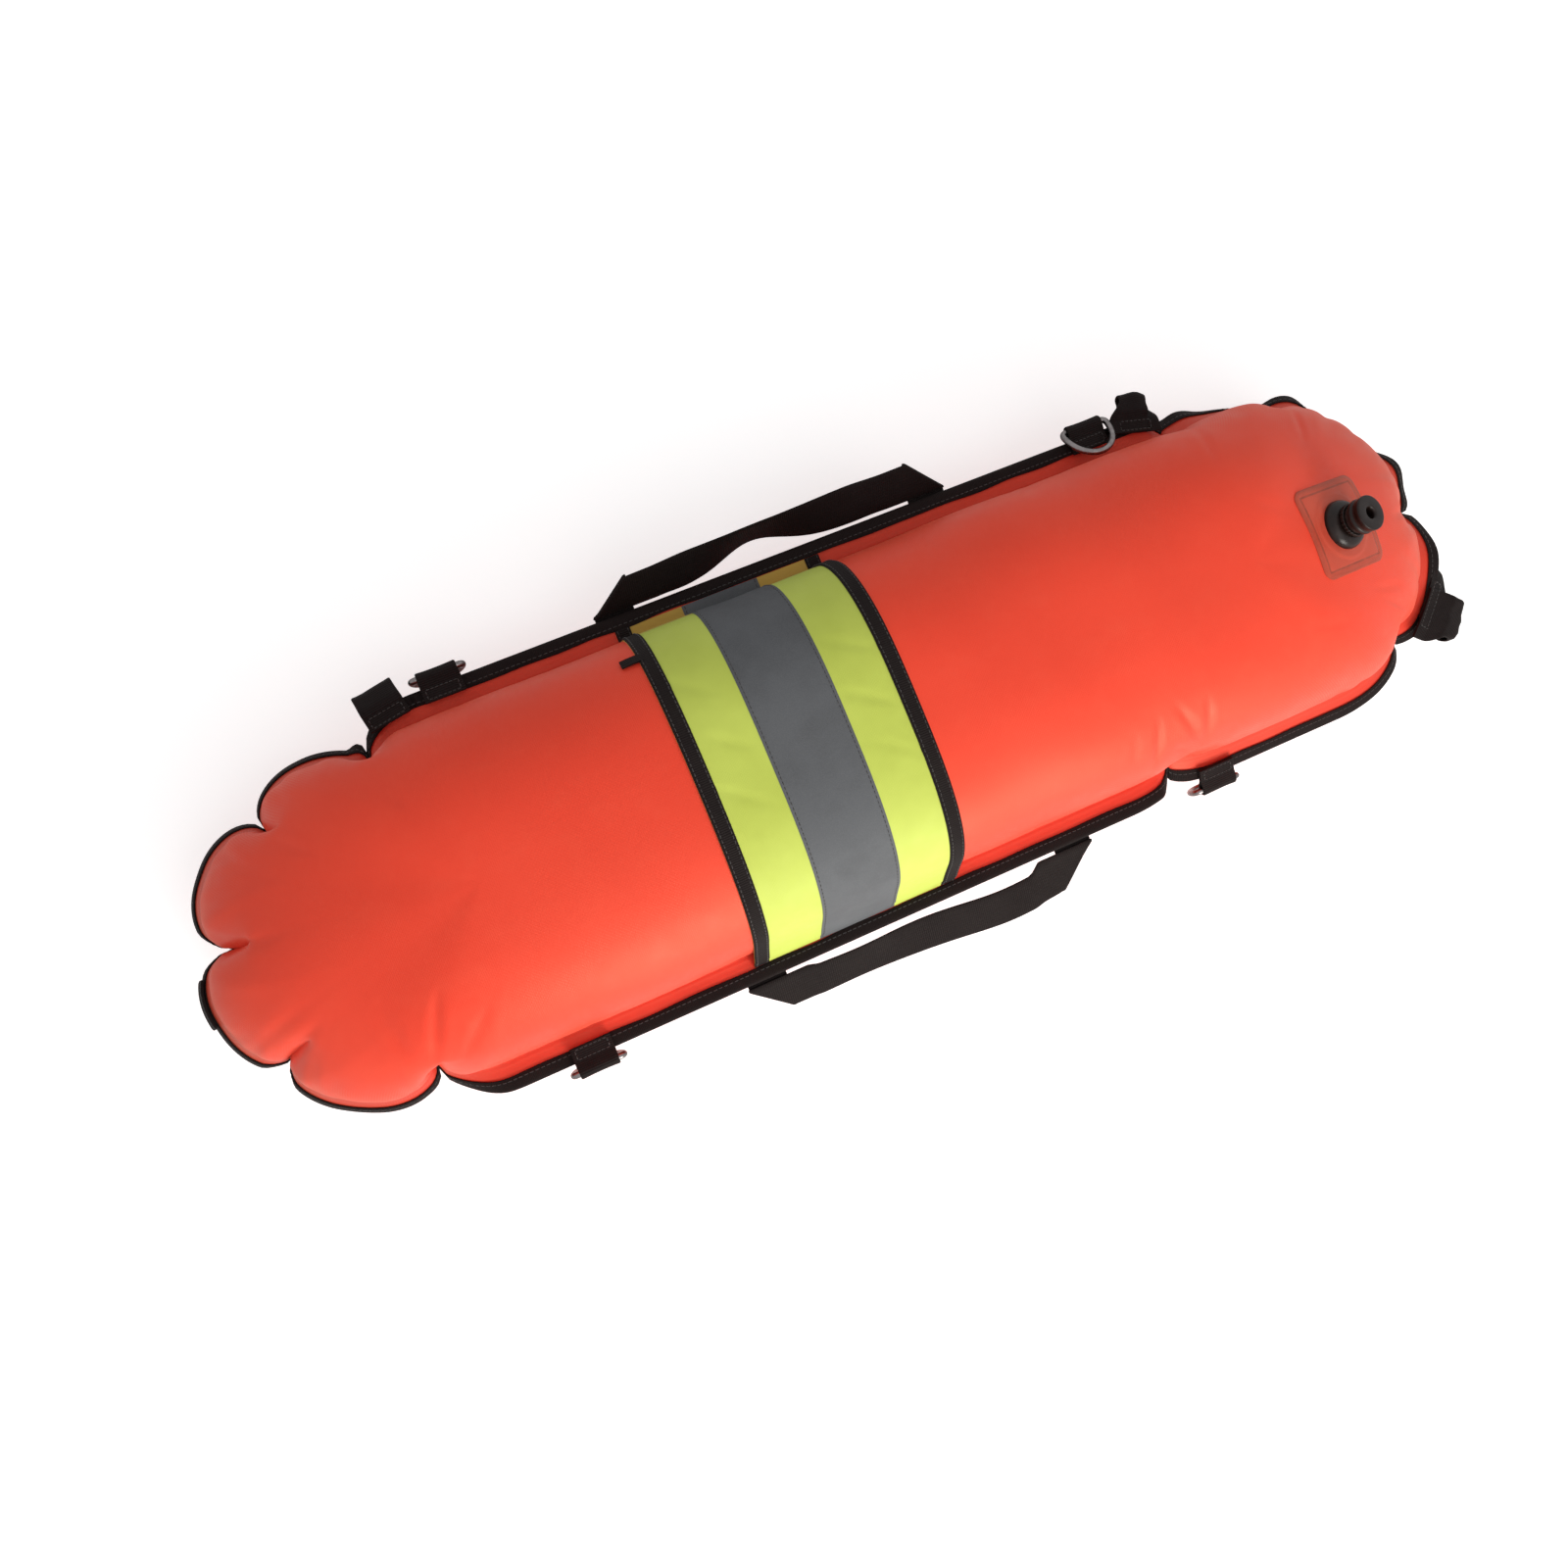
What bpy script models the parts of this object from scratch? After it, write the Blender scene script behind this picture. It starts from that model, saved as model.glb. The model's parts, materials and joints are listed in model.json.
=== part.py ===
"""An inflatable freediving buoy, modelled piece by piece at its real size.

Two coated fabric panels are welded together along their rim and blown up into a long pillow. The
welded margin is bound with webbing, which carries two handles, four D rings, two line loops, a tow
loop and an end tab. A reflective band crosses the top panel. A mouth valve sits on a square patch at
the +X end. Units are metres and +Z is up. The buoy lies on its flattened lower panel at z = 0, with
the origin in the middle of that flat.
"""

import math

import bmesh
import bpy
import numpy as np
from mathutils import Matrix, Vector
from mathutils.bvhtree import BVHTree

# Bag, between the weld lines
BAG_LENGTH = 0.810
BAG_WIDTH = 0.198
END_LENGTH = 0.100
CROWN_HEIGHT = 0.0756
FLAT_DEPTH = 0.073
POLE_SETBACK = 0.165
SIDE_FULLNESS = 2.67
END_FULLNESS = 1.60
FABRIC = 0.0008
GAP = 0.0003

# Welded margin and the webbing bound round its edge
RIM_WIDTH = 0.019
BINDING_WIDTH = 0.009
BINDING = 0.001

# Pinched folds in the rim: place on the bag (an angle at the ends; on the sides the end, -1 or 1, and the
# distance from it along the bag), how far each pulls the weld line in, how far from it the rim starts to
# turn down, and the rim's tilt in the fold. The rim's tilts between the folds are degrees below level, one
# for each lobe of the right end from the far side round to the near one
LEFT_END_FOLDS = ((62.0, 0.020, 0.012, 66.0), (14.0, 0.020, 0.012, 80.0), (-34.0, 0.013, 0.012, 80.0),
                  (-88.0, 0.020, 0.045, 60.0))
RIGHT_END_FOLDS = ((71.0, 0.009, 0.014, 60.0), (-3.5, 0.015, 0.030, 26.0), (-55.0, 0.012, 0.014, 36.0))
FAR_SIDE_FOLDS = ((-1, 0.128, 0.019, 0.020, 30.0), (1, 0.140, 0.006, 0.014, 35.0))
NEAR_SIDE_FOLD = (1, 0.227, 0.010, 0.014, 35.0)
FOLD_REACH = 0.036
HANGING_TURN = 0.012
LEFT_FOLD_RISE = 0.062
OTHER_FOLD_RISE = 0.036
LEFT_RIM_TILT = 65.0
RIGHT_RIM_TILTS = (70.0, 70.0, 20.0, 30.0)

# Mesh of the bag: steps round the rim in metres, and angles from the rim to the crown, with how far
# inside each long edge of the flat under the bag a row of its own lies
STEP = 0.034
FOLD_STEPS = 3
ROWS = (90.0, 85.0, 76.0, 64.0, 49.0, 28.0, 0.0)
FLAT_STEP = 0.5

# Reflective band across the top
BAND_LEFT = -0.1171
BAND_WIDTH = 0.1347
TRIM_WIDTH = 0.0095
SILVER_LEFT = -0.0739
SILVER_WIDTH = 0.0499
BAND_CLOTH = 0.0005
SILVER_FILM = 0.0004
TRIM_TAPE = 0.0011
TAIL_INSET = 0.020
TAIL_LENGTH = 0.009
TAIL_WIDTH = 0.006

# Webbing carried by the rim. A ring station or line loop stands at a distance from the bag's left (-1) or
# right (1) end; a station then has its side, far (1) or near (-1), and a loop its turn and its width
WEBBING = 0.0015
HANDLE_HALF_SPAN = 0.1055
HANDLE_WEBBING = 0.025
HANDLE_REACH = 0.0245
HANDLE_CENTRE_X = -0.007
HINGE_CLEARANCE = 0.0005
ANCHOR_LENGTH = 0.016
RING_STATIONS = (("far_left", -1, 0.1825, 1), ("far_right", 1, 0.1935, 1),
                 ("near_left", -1, 0.182, -1), ("near_right", 1, 0.1965, -1))
KEEPER_WIDTH = 0.025
KEEPER_TAIL = 0.0095
RING_INSIDE = 0.0275
RING_HEIGHT = 0.024
RING_WIRE = 0.004
RING_FIT = 0.0003
RING_LEAN = 30.0
LINE_LOOPS = (("line_loop_left", -1, 0.1465, 10.0, 0.026), ("line_loop_right", 1, 0.1585, -14.0, 0.026))
LINE_LOOP_REACH = 0.017
LINE_LOOP_OPENING = 0.0052
LINE_LOOP_SLOT = 0.0078
TOW_LOOP_ANGLE = -37.0
TOW_LOOP_WIDTH = 0.038
TOW_LOOP_REACH = 0.027
TOW_LOOP_OPENING = 0.007
TOW_LOOP_SLOT = 0.010
END_TAB_ANGLE = -2.0
END_TAB_WIDTH = 0.027

# Mouth valve, along its own axis from the patch outwards
VALVE_SETBACK = 0.092
PATCH_SIDE = 0.058
PATCH_CORNER = 0.007
PATCH_CLOTH = 0.0006
FLANGE_RADIUS = 0.021
FLANGE_CLOTH = 0.0012
VALVE_TUBE_RADIUS = 0.0082
VALVE_BORE_RADIUS = 0.0062
VALVE_TUBE_DEPTH = 0.0075
DOME_RADIUS = 0.0155
DOME_HEIGHT = 0.0078
NECK_RADIUS = 0.0090
NECK_BORE_RADIUS = 0.0078
NECK_HEIGHT = 0.0158
SPRING_LEDGE = 0.0040
LOCK_RING_RADIUS = 0.0106
LOCK_RING_HEIGHT = 0.0026
LOCK_RING_RIBS = 14
MOUTHPIECE_RADIUS = 0.0110
MOUTHPIECE_WALL = 0.0016
MOUTHPIECE_TOP = 0.0225
MOUTHPIECE_ROOF = 0.0025
MOUTHPIECE_BORE = 0.0034
STEM_RADIUS = 0.0048
MOUTHPIECE_TRAVEL = 0.0030
POPPET_RADIUS = 0.0092
POPPET_THICKNESS = 0.0030
SEAL_WIRE = 0.0013
SPRING_RADIUS = 0.0064
SPRING_WIRE = 0.0008
SPRING_TURNS = 4
ROUND_STEPS = 24

# Derived places
SEAM_Z = FLAT_DEPTH + GAP / 2 + FABRIC
HALF_WIDTH = BAG_WIDTH / 2
POLE_X = BAG_LENGTH / 2 - POLE_SETBACK
VALVE_X = BAG_LENGTH / 2 - VALVE_SETBACK
TAIL_Y = HALF_WIDTH - TAIL_INSET
END_START = BAG_LENGTH / 2 - END_LENGTH
END_RUN = math.pi * (END_LENGTH + HALF_WIDTH) / 2
SIDE_RUN = 2 * END_START
RIM_RUN = 2 * (SIDE_RUN + END_RUN)
BINDING_FACE = GAP / 2 + FABRIC + GAP + BINDING
STRAP_LIFT = BINDING_FACE + GAP

COLOURS = {
    "orange_fabric": ((0.80, 0.065, 0.03), 0.55, 0.0),
    "lime_fabric": ((0.62, 0.86, 0.12), 0.6, 0.0),
    "silver_tape": ((0.12, 0.125, 0.13), 0.45, 0.3),
    "black_webbing": ((0.008, 0.006, 0.006), 0.8, 0.0),
    "patch_fabric": ((0.55, 0.075, 0.035), 0.5, 0.0),
    "black_plastic": ((0.01, 0.008, 0.008), 0.35, 0.0),
    "black_rubber": ((0.012, 0.012, 0.012), 0.7, 0.0),
    "stainless_steel": ((0.55, 0.55, 0.56), 0.25, 1.0),
}


def clear_scene():
    for old in list(bpy.data.objects):
        bpy.data.objects.remove(old, do_unlink=True)


def material(name):
    """The named finish, made once."""
    found = bpy.data.materials.get(name)
    if found:
        return found
    colour, roughness, metallic = COLOURS[name]
    made = bpy.data.materials.new(name)
    made.use_nodes = True
    shader = made.node_tree.nodes["Principled BSDF"]
    shader.inputs["Base Color"].default_value = (*colour, 1.0)
    shader.inputs["Roughness"].default_value = roughness
    shader.inputs["Metallic"].default_value = metallic
    return made


def add_mesh(name, points, faces, finish, place=None, smooth_angle=None):
    """A closed mesh object from points and faces, welded and facing out."""
    mesh = bpy.data.meshes.new(name)
    mesh.from_pydata([tuple(p) for p in points], [], faces)
    work = bmesh.new()
    work.from_mesh(mesh)
    bmesh.ops.remove_doubles(work, verts=work.verts, dist=1e-6)
    bmesh.ops.recalc_face_normals(work, faces=work.faces)
    work.to_mesh(mesh)
    work.free()
    if smooth_angle is not None:
        mesh.shade_smooth()
        mesh.set_sharp_from_angle(angle=math.radians(smooth_angle))
    mesh.materials.append(material(finish))
    made = bpy.data.objects.new(name, mesh)
    bpy.context.scene.collection.objects.link(made)
    if place is not None:
        made.matrix_world = place
    return made


# Outline of the bag, followed clockwise from above by the distance run along the weld line
def from_end(end, setback):
    """The x at a distance along the bag from its left (-1) or right (+1) end."""
    return end * (BAG_LENGTH / 2 - setback)


def rim_of_side(x, side):
    """The run along the rim at x on the far (+1) or near (-1) long side."""
    return END_START + x if side > 0 else SIDE_RUN + END_RUN + END_START - x


def rim_of_end(angle, end):
    """The run at an angle off the +X axis on the right (+1) end, or off -X on the left (-1) end."""
    turn = (90.0 - angle) / 180.0 * END_RUN
    return SIDE_RUN + turn if end > 0 else 2 * SIDE_RUN + 2 * END_RUN - turn


def plain_edge(run):
    """The weld line without its folds: point and outward normal in plan."""
    run %= RIM_RUN
    if run < SIDE_RUN:
        return np.array([run - END_START, HALF_WIDTH]), np.array([0.0, 1.0])
    run -= SIDE_RUN
    end = 1.0
    if run >= END_RUN:
        run -= END_RUN
        if run < SIDE_RUN:
            return np.array([END_START - run, -HALF_WIDTH]), np.array([0.0, -1.0])
        run = run - SIDE_RUN
        end = -1.0
    angle = end * (math.pi / 2 - math.pi * run / END_RUN)
    point = np.array([end * (END_START + END_LENGTH * math.cos(angle)), HALF_WIDTH * math.sin(angle)])
    normal = np.array([end * math.cos(angle) / END_LENGTH, math.sin(angle) / HALF_WIDTH])
    return point, normal / np.linalg.norm(normal)


def all_folds():
    """Each fold as (run, depth, turn, tilt of the rim there), in order round the rim."""
    folds = [(rim_of_side(from_end(end, setback), 1), *shape) for end, setback, *shape in FAR_SIDE_FOLDS]
    folds += [(rim_of_end(angle, 1), *shape) for angle, *shape in RIGHT_END_FOLDS]
    folds += [(rim_of_side(from_end(*NEAR_SIDE_FOLD[:2]), -1), *NEAR_SIDE_FOLD[2:])]
    folds += [(rim_of_end(angle, -1), *shape) for angle, *shape in LEFT_END_FOLDS]
    return sorted(folds)


FOLDS = all_folds()


def apart(a, b):
    """The signed run from b to a, the short way round the rim."""
    return (a - b + RIM_RUN / 2) % RIM_RUN - RIM_RUN / 2


def fold_reach(index, way):
    """How far a fold's rounded shoulder runs towards the next fold (way +1) or the last (-1)."""
    neighbour = FOLDS[(index + way) % len(FOLDS)][0]
    return min(FOLD_REACH, abs(apart(neighbour, FOLDS[index][0])) / 2)


def pull_in(run):
    """How far the folds draw the weld line in at this run: lobes between the folds, round as arcs."""
    pulled = 0.0
    for index, (at, depth, _, _) in enumerate(FOLDS):
        off = apart(run, at)
        reach = fold_reach(index, 1 if off > 0 else -1)
        if abs(off) < reach:
            share = 1 - abs(off) / reach
            pulled = max(pulled, depth * (1 - math.sqrt(max(0.0, 1 - share * share))))
    return pulled


def rim_tilt(run):
    """The angle, in degrees, that the welded margin hangs below level."""
    point, _ = plain_edge(run)
    first_left, first_right = (rim_of_side(from_end(*fold[:2]), 1) for fold in FAR_SIDE_FOLDS)
    last_left = rim_of_end(LEFT_END_FOLDS[-1][0], -1)
    last_right = rim_of_side(from_end(*NEAR_SIDE_FOLD[:2]), -1)
    stops = [first_right] + [rim_of_end(angle, 1) for angle, *_ in RIGHT_END_FOLDS] + [last_right]
    tilt = 0.0
    hanging = apart(run, first_left) < 0 < apart(run, last_left) and point[0] < 0
    if hanging:
        tilt = LEFT_RIM_TILT
    for lobe_tilt, start, stop in zip(RIGHT_RIM_TILTS, stops, stops[1:]):
        if start < run % RIM_RUN < stop:
            tilt = lobe_tilt
    for at, _, turn, fold_tilt in FOLDS:
        near = max(0.0, 1 - abs(apart(run, at)) / (HANGING_TURN if hanging else turn))
        tilt += (fold_tilt - tilt) * near * near * (3 - 2 * near)
    return tilt


def steps_between(start, stop, step=STEP):
    """Evenly spaced places from start to just before stop."""
    count = max(1, math.ceil(abs(stop - start) / step - 1e-9))
    return [start + (stop - start) * i / count for i in range(count)]


def fold_places(reach):
    """Distances from a fold that step its round shoulder evenly, from near to far."""
    return [reach * (1 - math.cos(math.pi / 2 * i / FOLD_STEPS)) for i in range(1, FOLD_STEPS + 1)]


def body_stations():
    """The x of each pair of columns on the long sides, on every edge of the band and of the fold."""
    silver_right = SILVER_LEFT + SILVER_WIDTH
    band_right = BAND_LEFT + BAND_WIDTH
    stops = [-POLE_X, BAND_LEFT, BAND_LEFT + TRIM_WIDTH, SILVER_LEFT, silver_right,
             band_right - TRIM_WIDTH, band_right]
    fold = from_end(*NEAR_SIDE_FOLD[:2])
    offsets = fold_places(FOLD_REACH)
    stops += [fold - off for off in reversed(offsets)] + [fold] + [fold + off for off in offsets]
    stops = [x for x in stops if x < POLE_X] + [POLE_X]
    stations = []
    for start, stop in zip(stops, stops[1:]):
        stations += steps_between(start, stop)
    return stations + [POLE_X]


def end_runs(start, stop):
    """The runs of the columns that fan out round one end, between two runs on the long sides."""
    inside = [i for i, fold in enumerate(FOLDS) if 0 < (fold[0] - start) % RIM_RUN < (stop - start) % RIM_RUN]
    inside.sort(key=lambda i: (FOLDS[i][0] - start) % RIM_RUN)
    places = []
    for index in inside:
        at = FOLDS[index][0]
        before = [at - off for off in reversed(fold_places(fold_reach(index, -1)))]
        after = [at + off for off in fold_places(fold_reach(index, 1))]
        places += before + [at] + after
    spread = (stop - start) % RIM_RUN
    offsets = sorted({round((p - start) % RIM_RUN, 7) for p in places if 0 < (p - start) % RIM_RUN < spread})
    stops = [0.0] + [o for o in offsets if o > 0.003 and o < spread - 0.003] + [spread]
    runs = []
    for a, b in zip(stops, stops[1:]):
        runs += steps_between(start + a, start + b)
    return runs[1:]


def rim_columns():
    """Every column round the rim as (run, x of the spine point it rises to), in order."""
    stations = body_stations()
    columns = [(rim_of_side(x, 1), x) for x in stations]
    columns += [(run, POLE_X) for run in end_runs(rim_of_side(POLE_X, 1), rim_of_side(POLE_X, -1))]
    columns += [(rim_of_side(x, -1), x) for x in reversed(stations)]
    columns += [(run, -POLE_X) for run in end_runs(rim_of_side(-POLE_X, -1), rim_of_side(-POLE_X, 1))]
    return columns


def fullness(edge_x):
    """The exponent of the bag's section: full along the sides, leaner towards the tips."""
    share = max(0.0, abs(edge_x) - POLE_X) / (BAG_LENGTH / 2 - POLE_X)
    share = share * share * (3 - 2 * share)
    return SIDE_FULLNESS + (END_FULLNESS - SIDE_FULLNESS) * share


def fold_hold(distance, left, side):
    """How much of a fold's pull is left this far from the weld; it tucks deeper underneath."""
    rise = distance / (LEFT_FOLD_RISE if left or side < 0 else OTHER_FOLD_RISE)
    if rise >= 1:
        return 0.0
    return 1 - rise * rise if side > 0 else 1 + 1.2 * rise - 2.2 * rise * rise


def rim_frame(run):
    """The weld line's point, the margin's outward direction, its upper normal and its tangent."""
    edge, normal = plain_edge(run)
    edge = edge - normal * pull_in(run)
    tilt = math.radians(rim_tilt(run))
    out = np.array([*normal * math.cos(tilt), -math.sin(tilt)])
    up = np.array([*normal * math.sin(tilt), math.cos(tilt)])
    return np.array([*edge, SEAM_Z]), out, up, np.cross(out, up)


def bag_point(run, spine_x, row, side):
    """A point of the inner face of the upper (+1) or lower (-1) panel, row degrees from the crown."""
    edge, normal = plain_edge(run)
    power = 2 / fullness(edge[0])
    reach = math.sin(math.radians(row)) ** power
    height = CROWN_HEIGHT * max(0.0, math.cos(math.radians(row))) ** power
    spine = np.array([spine_x, 0.0])
    distance = math.hypot(height, np.linalg.norm(edge - spine) * (1 - reach))
    hold = fold_hold(distance, edge[0] < 0, side)
    plan = spine + (edge - spine) * reach - normal * pull_in(run) * hold
    if side < 0:
        height = min(height, FLAT_DEPTH)
    return np.array([*plan, SEAM_Z + side * (height + GAP / 2)])


def panel_rows(side):
    """Row angles of a panel: the lower one has a row of its own along each long edge of its flat."""
    if side > 0:
        return ROWS
    flat_share = (FLAT_DEPTH / CROWN_HEIGHT) ** (SIDE_FULLNESS / 2)
    return (*ROWS[:-1], math.degrees(math.acos(flat_share)) - FLAT_STEP, ROWS[-1])


def panel_grid(columns, side):
    """Inner face of a panel as rows from the rim's edge to the spine, and the normals out of the bag."""
    frames = [rim_frame(run) for run, _ in columns]
    grid = [[weld + out * width + up * side * GAP / 2 for weld, out, up, _ in frames]
            for width in cloth_margin()]
    for angle in panel_rows(side):
        grid.append([bag_point(run, spine_x, angle, side) for run, spine_x in columns])
    grid = np.array(grid)
    along = np.roll(grid, -1, axis=1) - np.roll(grid, 1, axis=1)
    across = np.gradient(grid, axis=0)
    normals = np.cross(across, along)
    if normals[-2, 0, 2] * side < 0:
        normals *= -1
    normals[:2] = [up * side for _, _, up, _ in frames]
    normals[-1] = (0.0, 0.0, side)
    flat = grid[:, :, 2] < SEAM_Z - FLAT_DEPTH - GAP / 2 + 1e-9
    normals[flat] = (0.0, 0.0, side)
    normals /= np.linalg.norm(normals, axis=2, keepdims=True)
    return grid, normals


def split(a, b, c, d):
    """A quad as two triangles that meet along a to c, so that twisted layers stay apart."""
    return [(a, b, c), (a, c, d)]


def skin(grid, normals, low, high, closed):
    """A thin shell between two offsets of a grid, closed round its columns or with two cut sides."""
    rows, count = grid.shape[:2]
    points = np.concatenate([(grid + normals * low).reshape(-1, 3), (grid + normals * high).reshape(-1, 3)])
    top = rows * count
    faces = []
    for r in range(rows - 1):
        for c in range(count if closed else count - 1):
            d = (c + 1) % count
            a, b, e, f = r * count + c, r * count + d, (r + 1) * count + d, (r + 1) * count + c
            faces += split(a, f, e, b) + split(a + top, b + top, e + top, f + top)
    for c in range(count if closed else count - 1):
        d = (c + 1) % count
        faces.append((c, d, d + top, c + top))
    if not closed:
        for c in (0, count - 1):
            for r in range(rows - 1):
                a, b = r * count + c, (r + 1) * count + c
                faces.append((a, b, b + top, a + top))
    return points, faces


def cloth_margin():
    """Widths of the welded margin, from its cut edge inside the binding to the band's edge."""
    return (RIM_WIDTH - BINDING - GAP, RIM_WIDTH - BINDING_WIDTH - GAP)


def add_panel(name, side, columns):
    grid, normals = panel_grid(columns, side)
    points, faces = skin(grid, normals, 0.0, FABRIC, True)
    return add_mesh(name, points, faces, "orange_fabric", smooth_angle=40)


def band_skin(columns, left, right, low, high):
    """A strip of the top panel between two stations, lifted off it; it crosses the spine unbroken."""
    grid, normals = (layer[1:] for layer in panel_grid(columns, 1))
    far = [i for i, (run, x) in enumerate(columns) if run < SIDE_RUN and left - 1e-6 <= x <= right + 1e-6]
    near = [i for i, (run, x) in enumerate(columns)
            if run > SIDE_RUN + END_RUN and left - 1e-6 <= x <= right + 1e-6 and abs(x) < POLE_X]
    near.reverse()
    strip = np.concatenate([grid[:, far], grid[-2::-1][:, near]])
    lift = np.concatenate([normals[:, far], normals[-2::-1][:, near]])
    points, faces = skin(strip, lift, low, high, False)
    count = len(far)
    last = (len(strip) - 1) * count
    top = len(strip) * count
    faces += [(last + c, last + top + c, last + top + c + 1, last + c + 1) for c in range(count - 1)]
    return points, faces


def add_band(columns):
    right = BAND_LEFT + BAND_WIDTH
    cloth_low = FABRIC + GAP
    cloth_high = cloth_low + BAND_CLOTH
    tape_low = cloth_high + GAP
    add_mesh("band_cloth", *band_skin(columns, BAND_LEFT, right, cloth_low, cloth_high), "lime_fabric",
             smooth_angle=40)
    silver = band_skin(columns, SILVER_LEFT, SILVER_LEFT + SILVER_WIDTH, tape_low, tape_low + SILVER_FILM)
    add_mesh("reflective_tape", *silver, "silver_tape", smooth_angle=40)
    for name, left in (("band_trim_left", BAND_LEFT), ("band_trim_right", right - TRIM_WIDTH)):
        trim = band_skin(columns, left, left + TRIM_WIDTH, tape_low, tape_low + TRIM_TAPE)
        add_mesh(name, *trim, "black_webbing", smooth_angle=40)


def sweep(frames, profile, closed_path):
    """A closed profile carried along frames of (origin, first axis, second axis)."""
    count = len(profile)
    points = [origin + a * x + b * y for origin, a, b in frames for x, y in profile]
    faces = []
    for i in range(len(frames) if closed_path else len(frames) - 1):
        here, there = i * count, (i + 1) % len(frames) * count
        for k in range(count):
            m = (k + 1) % count
            if profile[k][0] >= profile[m][0]:
                faces += split(here + k, here + m, there + m, there + k)
            else:
                faces += split(here + m, there + m, there + k, here + k)
    if not closed_path:
        faces.append(tuple(range(count)))
        faces.append(tuple(range((len(frames) - 1) * count, len(frames) * count)))
    return points, faces


def add_binding(columns):
    """Webbing folded round the cut edge of both panels."""
    inner, outer = BINDING_FACE - BINDING, BINDING_FACE
    start, end = RIM_WIDTH - BINDING_WIDTH, RIM_WIDTH
    profile = ((start, inner), (start, outer), (end, outer), (end, -outer), (start, -outer),
               (start, -inner), (end - BINDING, -inner), (end - BINDING, inner))
    frames = [rim_frame(run)[:3] for run, _ in columns]
    add_mesh("edge_binding", *sweep(frames, profile, True), "black_webbing", smooth_angle=50)


def rim_place(run, turn=0.0, lift=0.0, out=RIM_WIDTH):
    """A matrix on the rim: x along it, y outwards past its edge, z off its upper face."""
    weld, away, up, along = rim_frame(run)
    origin = weld + away * out + up * lift
    basis = Matrix((along, away, up)).transposed().to_4x4()
    return Matrix.Translation(origin) @ basis @ Matrix.Rotation(math.radians(turn), 4, "Z")


def arc(centre, radius, start, stop, steps):
    """Points on a circle between two angles in degrees, both ends included."""
    turns = (math.radians(start + (stop - start) * i / steps) for i in range(steps + 1))
    return [(centre[0] + radius * math.cos(t), centre[1] + radius * math.sin(t)) for t in turns]


def without_repeats(ring):
    """A ring of points without those that lie on the one before."""
    return [p for p, before in zip(ring, ring[-1:] + ring) if math.dist(p, before) > 1e-6]


def loop_profile(tail, reach, opening, slot, thickness):
    """A strap folded into a loop: two plies lie on the rim and part round an eye beyond it.

    The eye is as high as its opening, and longer than that by slot.
    """
    ply = 2 * thickness
    radius = opening / 2
    far = (reach - radius - thickness, thickness)
    near = (far[0] - slot, thickness)
    outer = [(GAP, 0.0), (-tail, 0.0), (-tail, ply), (GAP, ply)]
    around = radius + thickness
    outer += arc(near, around, 125, 90, 2) + arc(far, around, 90, -90, 8) + arc(near, around, -90, -125, 2)
    hole = arc(far, radius, -90, 90, 6) + arc(near, radius, 90, 270, 6)
    return without_repeats(outer), without_repeats(hole)


def extrude_with_hole(outer, hole, width):
    """A plate of the given width along x, whose section in y and z has one hole."""
    work = bmesh.new()
    loops = []
    for ring in (outer, hole):
        verts = [work.verts.new((-width / 2, y, z)) for y, z in ring]
        loops += [work.edges.new((a, b)) for a, b in zip(verts, verts[1:] + verts[:1])]
    face = bmesh.ops.triangle_fill(work, edges=loops, use_beauty=True, use_dissolve=False)
    flat = [item for item in face["geom"] if isinstance(item, bmesh.types.BMFace)]
    pushed = bmesh.ops.extrude_face_region(work, geom=flat, use_keep_orig=True)
    moved = [item for item in pushed["geom"] if isinstance(item, bmesh.types.BMVert)]
    bmesh.ops.translate(work, vec=(width, 0.0, 0.0), verts=moved)
    work.verts.index_update()
    points = [v.co.copy() for v in work.verts]
    faces = [tuple(v.index for v in f.verts) for f in work.faces]
    work.free()
    return points, faces


def add_webbing_loop(name, run, width, reach, opening, slot=0.0, turn=0.0):
    outer, hole = loop_profile(KEEPER_TAIL, reach, opening, slot, WEBBING)
    points, faces = extrude_with_hole(outer, hole, width)
    place = rim_place(run, turn, STRAP_LIFT)
    return add_mesh(name, points, faces, "black_webbing", place, smooth_angle=50)


def faceted_frame(columns, run):
    """The rim's frame read straight between the two columns beside a run, as the binding's faces lie."""
    after = min(range(len(columns)), key=lambda i: (columns[i][0] - run) % RIM_RUN)
    start, stop = columns[after - 1][0], columns[after][0]
    share = ((run - start) % RIM_RUN) / ((stop - start) % RIM_RUN)
    return [a * (1 - share) + b * share for a, b in zip(rim_frame(start)[:3], rim_frame(stop)[:3])]


def add_end_tab(columns):
    """A short tab of webbing folded over the binding at the left tip."""
    reach = 2 * WEBBING
    outer = STRAP_LIFT + WEBBING
    profile = ((-BINDING_WIDTH, STRAP_LIFT), (-BINDING_WIDTH, outer), (reach - WEBBING, outer),
               (reach, STRAP_LIFT), (reach, -STRAP_LIFT), (reach - WEBBING, -outer), (-KEEPER_TAIL / 3, -outer),
               (-KEEPER_TAIL / 3, -STRAP_LIFT), (GAP, -STRAP_LIFT), (GAP, STRAP_LIFT))
    first = rim_of_end(END_TAB_ANGLE, -1) - END_TAB_WIDTH / 2
    last = first + END_TAB_WIDTH
    runs = [first] + [run for run, _ in columns if first + GAP < run < last - GAP] + [last]
    frames = [(weld + out * RIM_WIDTH, out, up)
              for weld, out, up in (faceted_frame(columns, run) for run in runs)]
    add_mesh("end_tab", *sweep(frames, profile, False), "black_webbing", smooth_angle=50)


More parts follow.
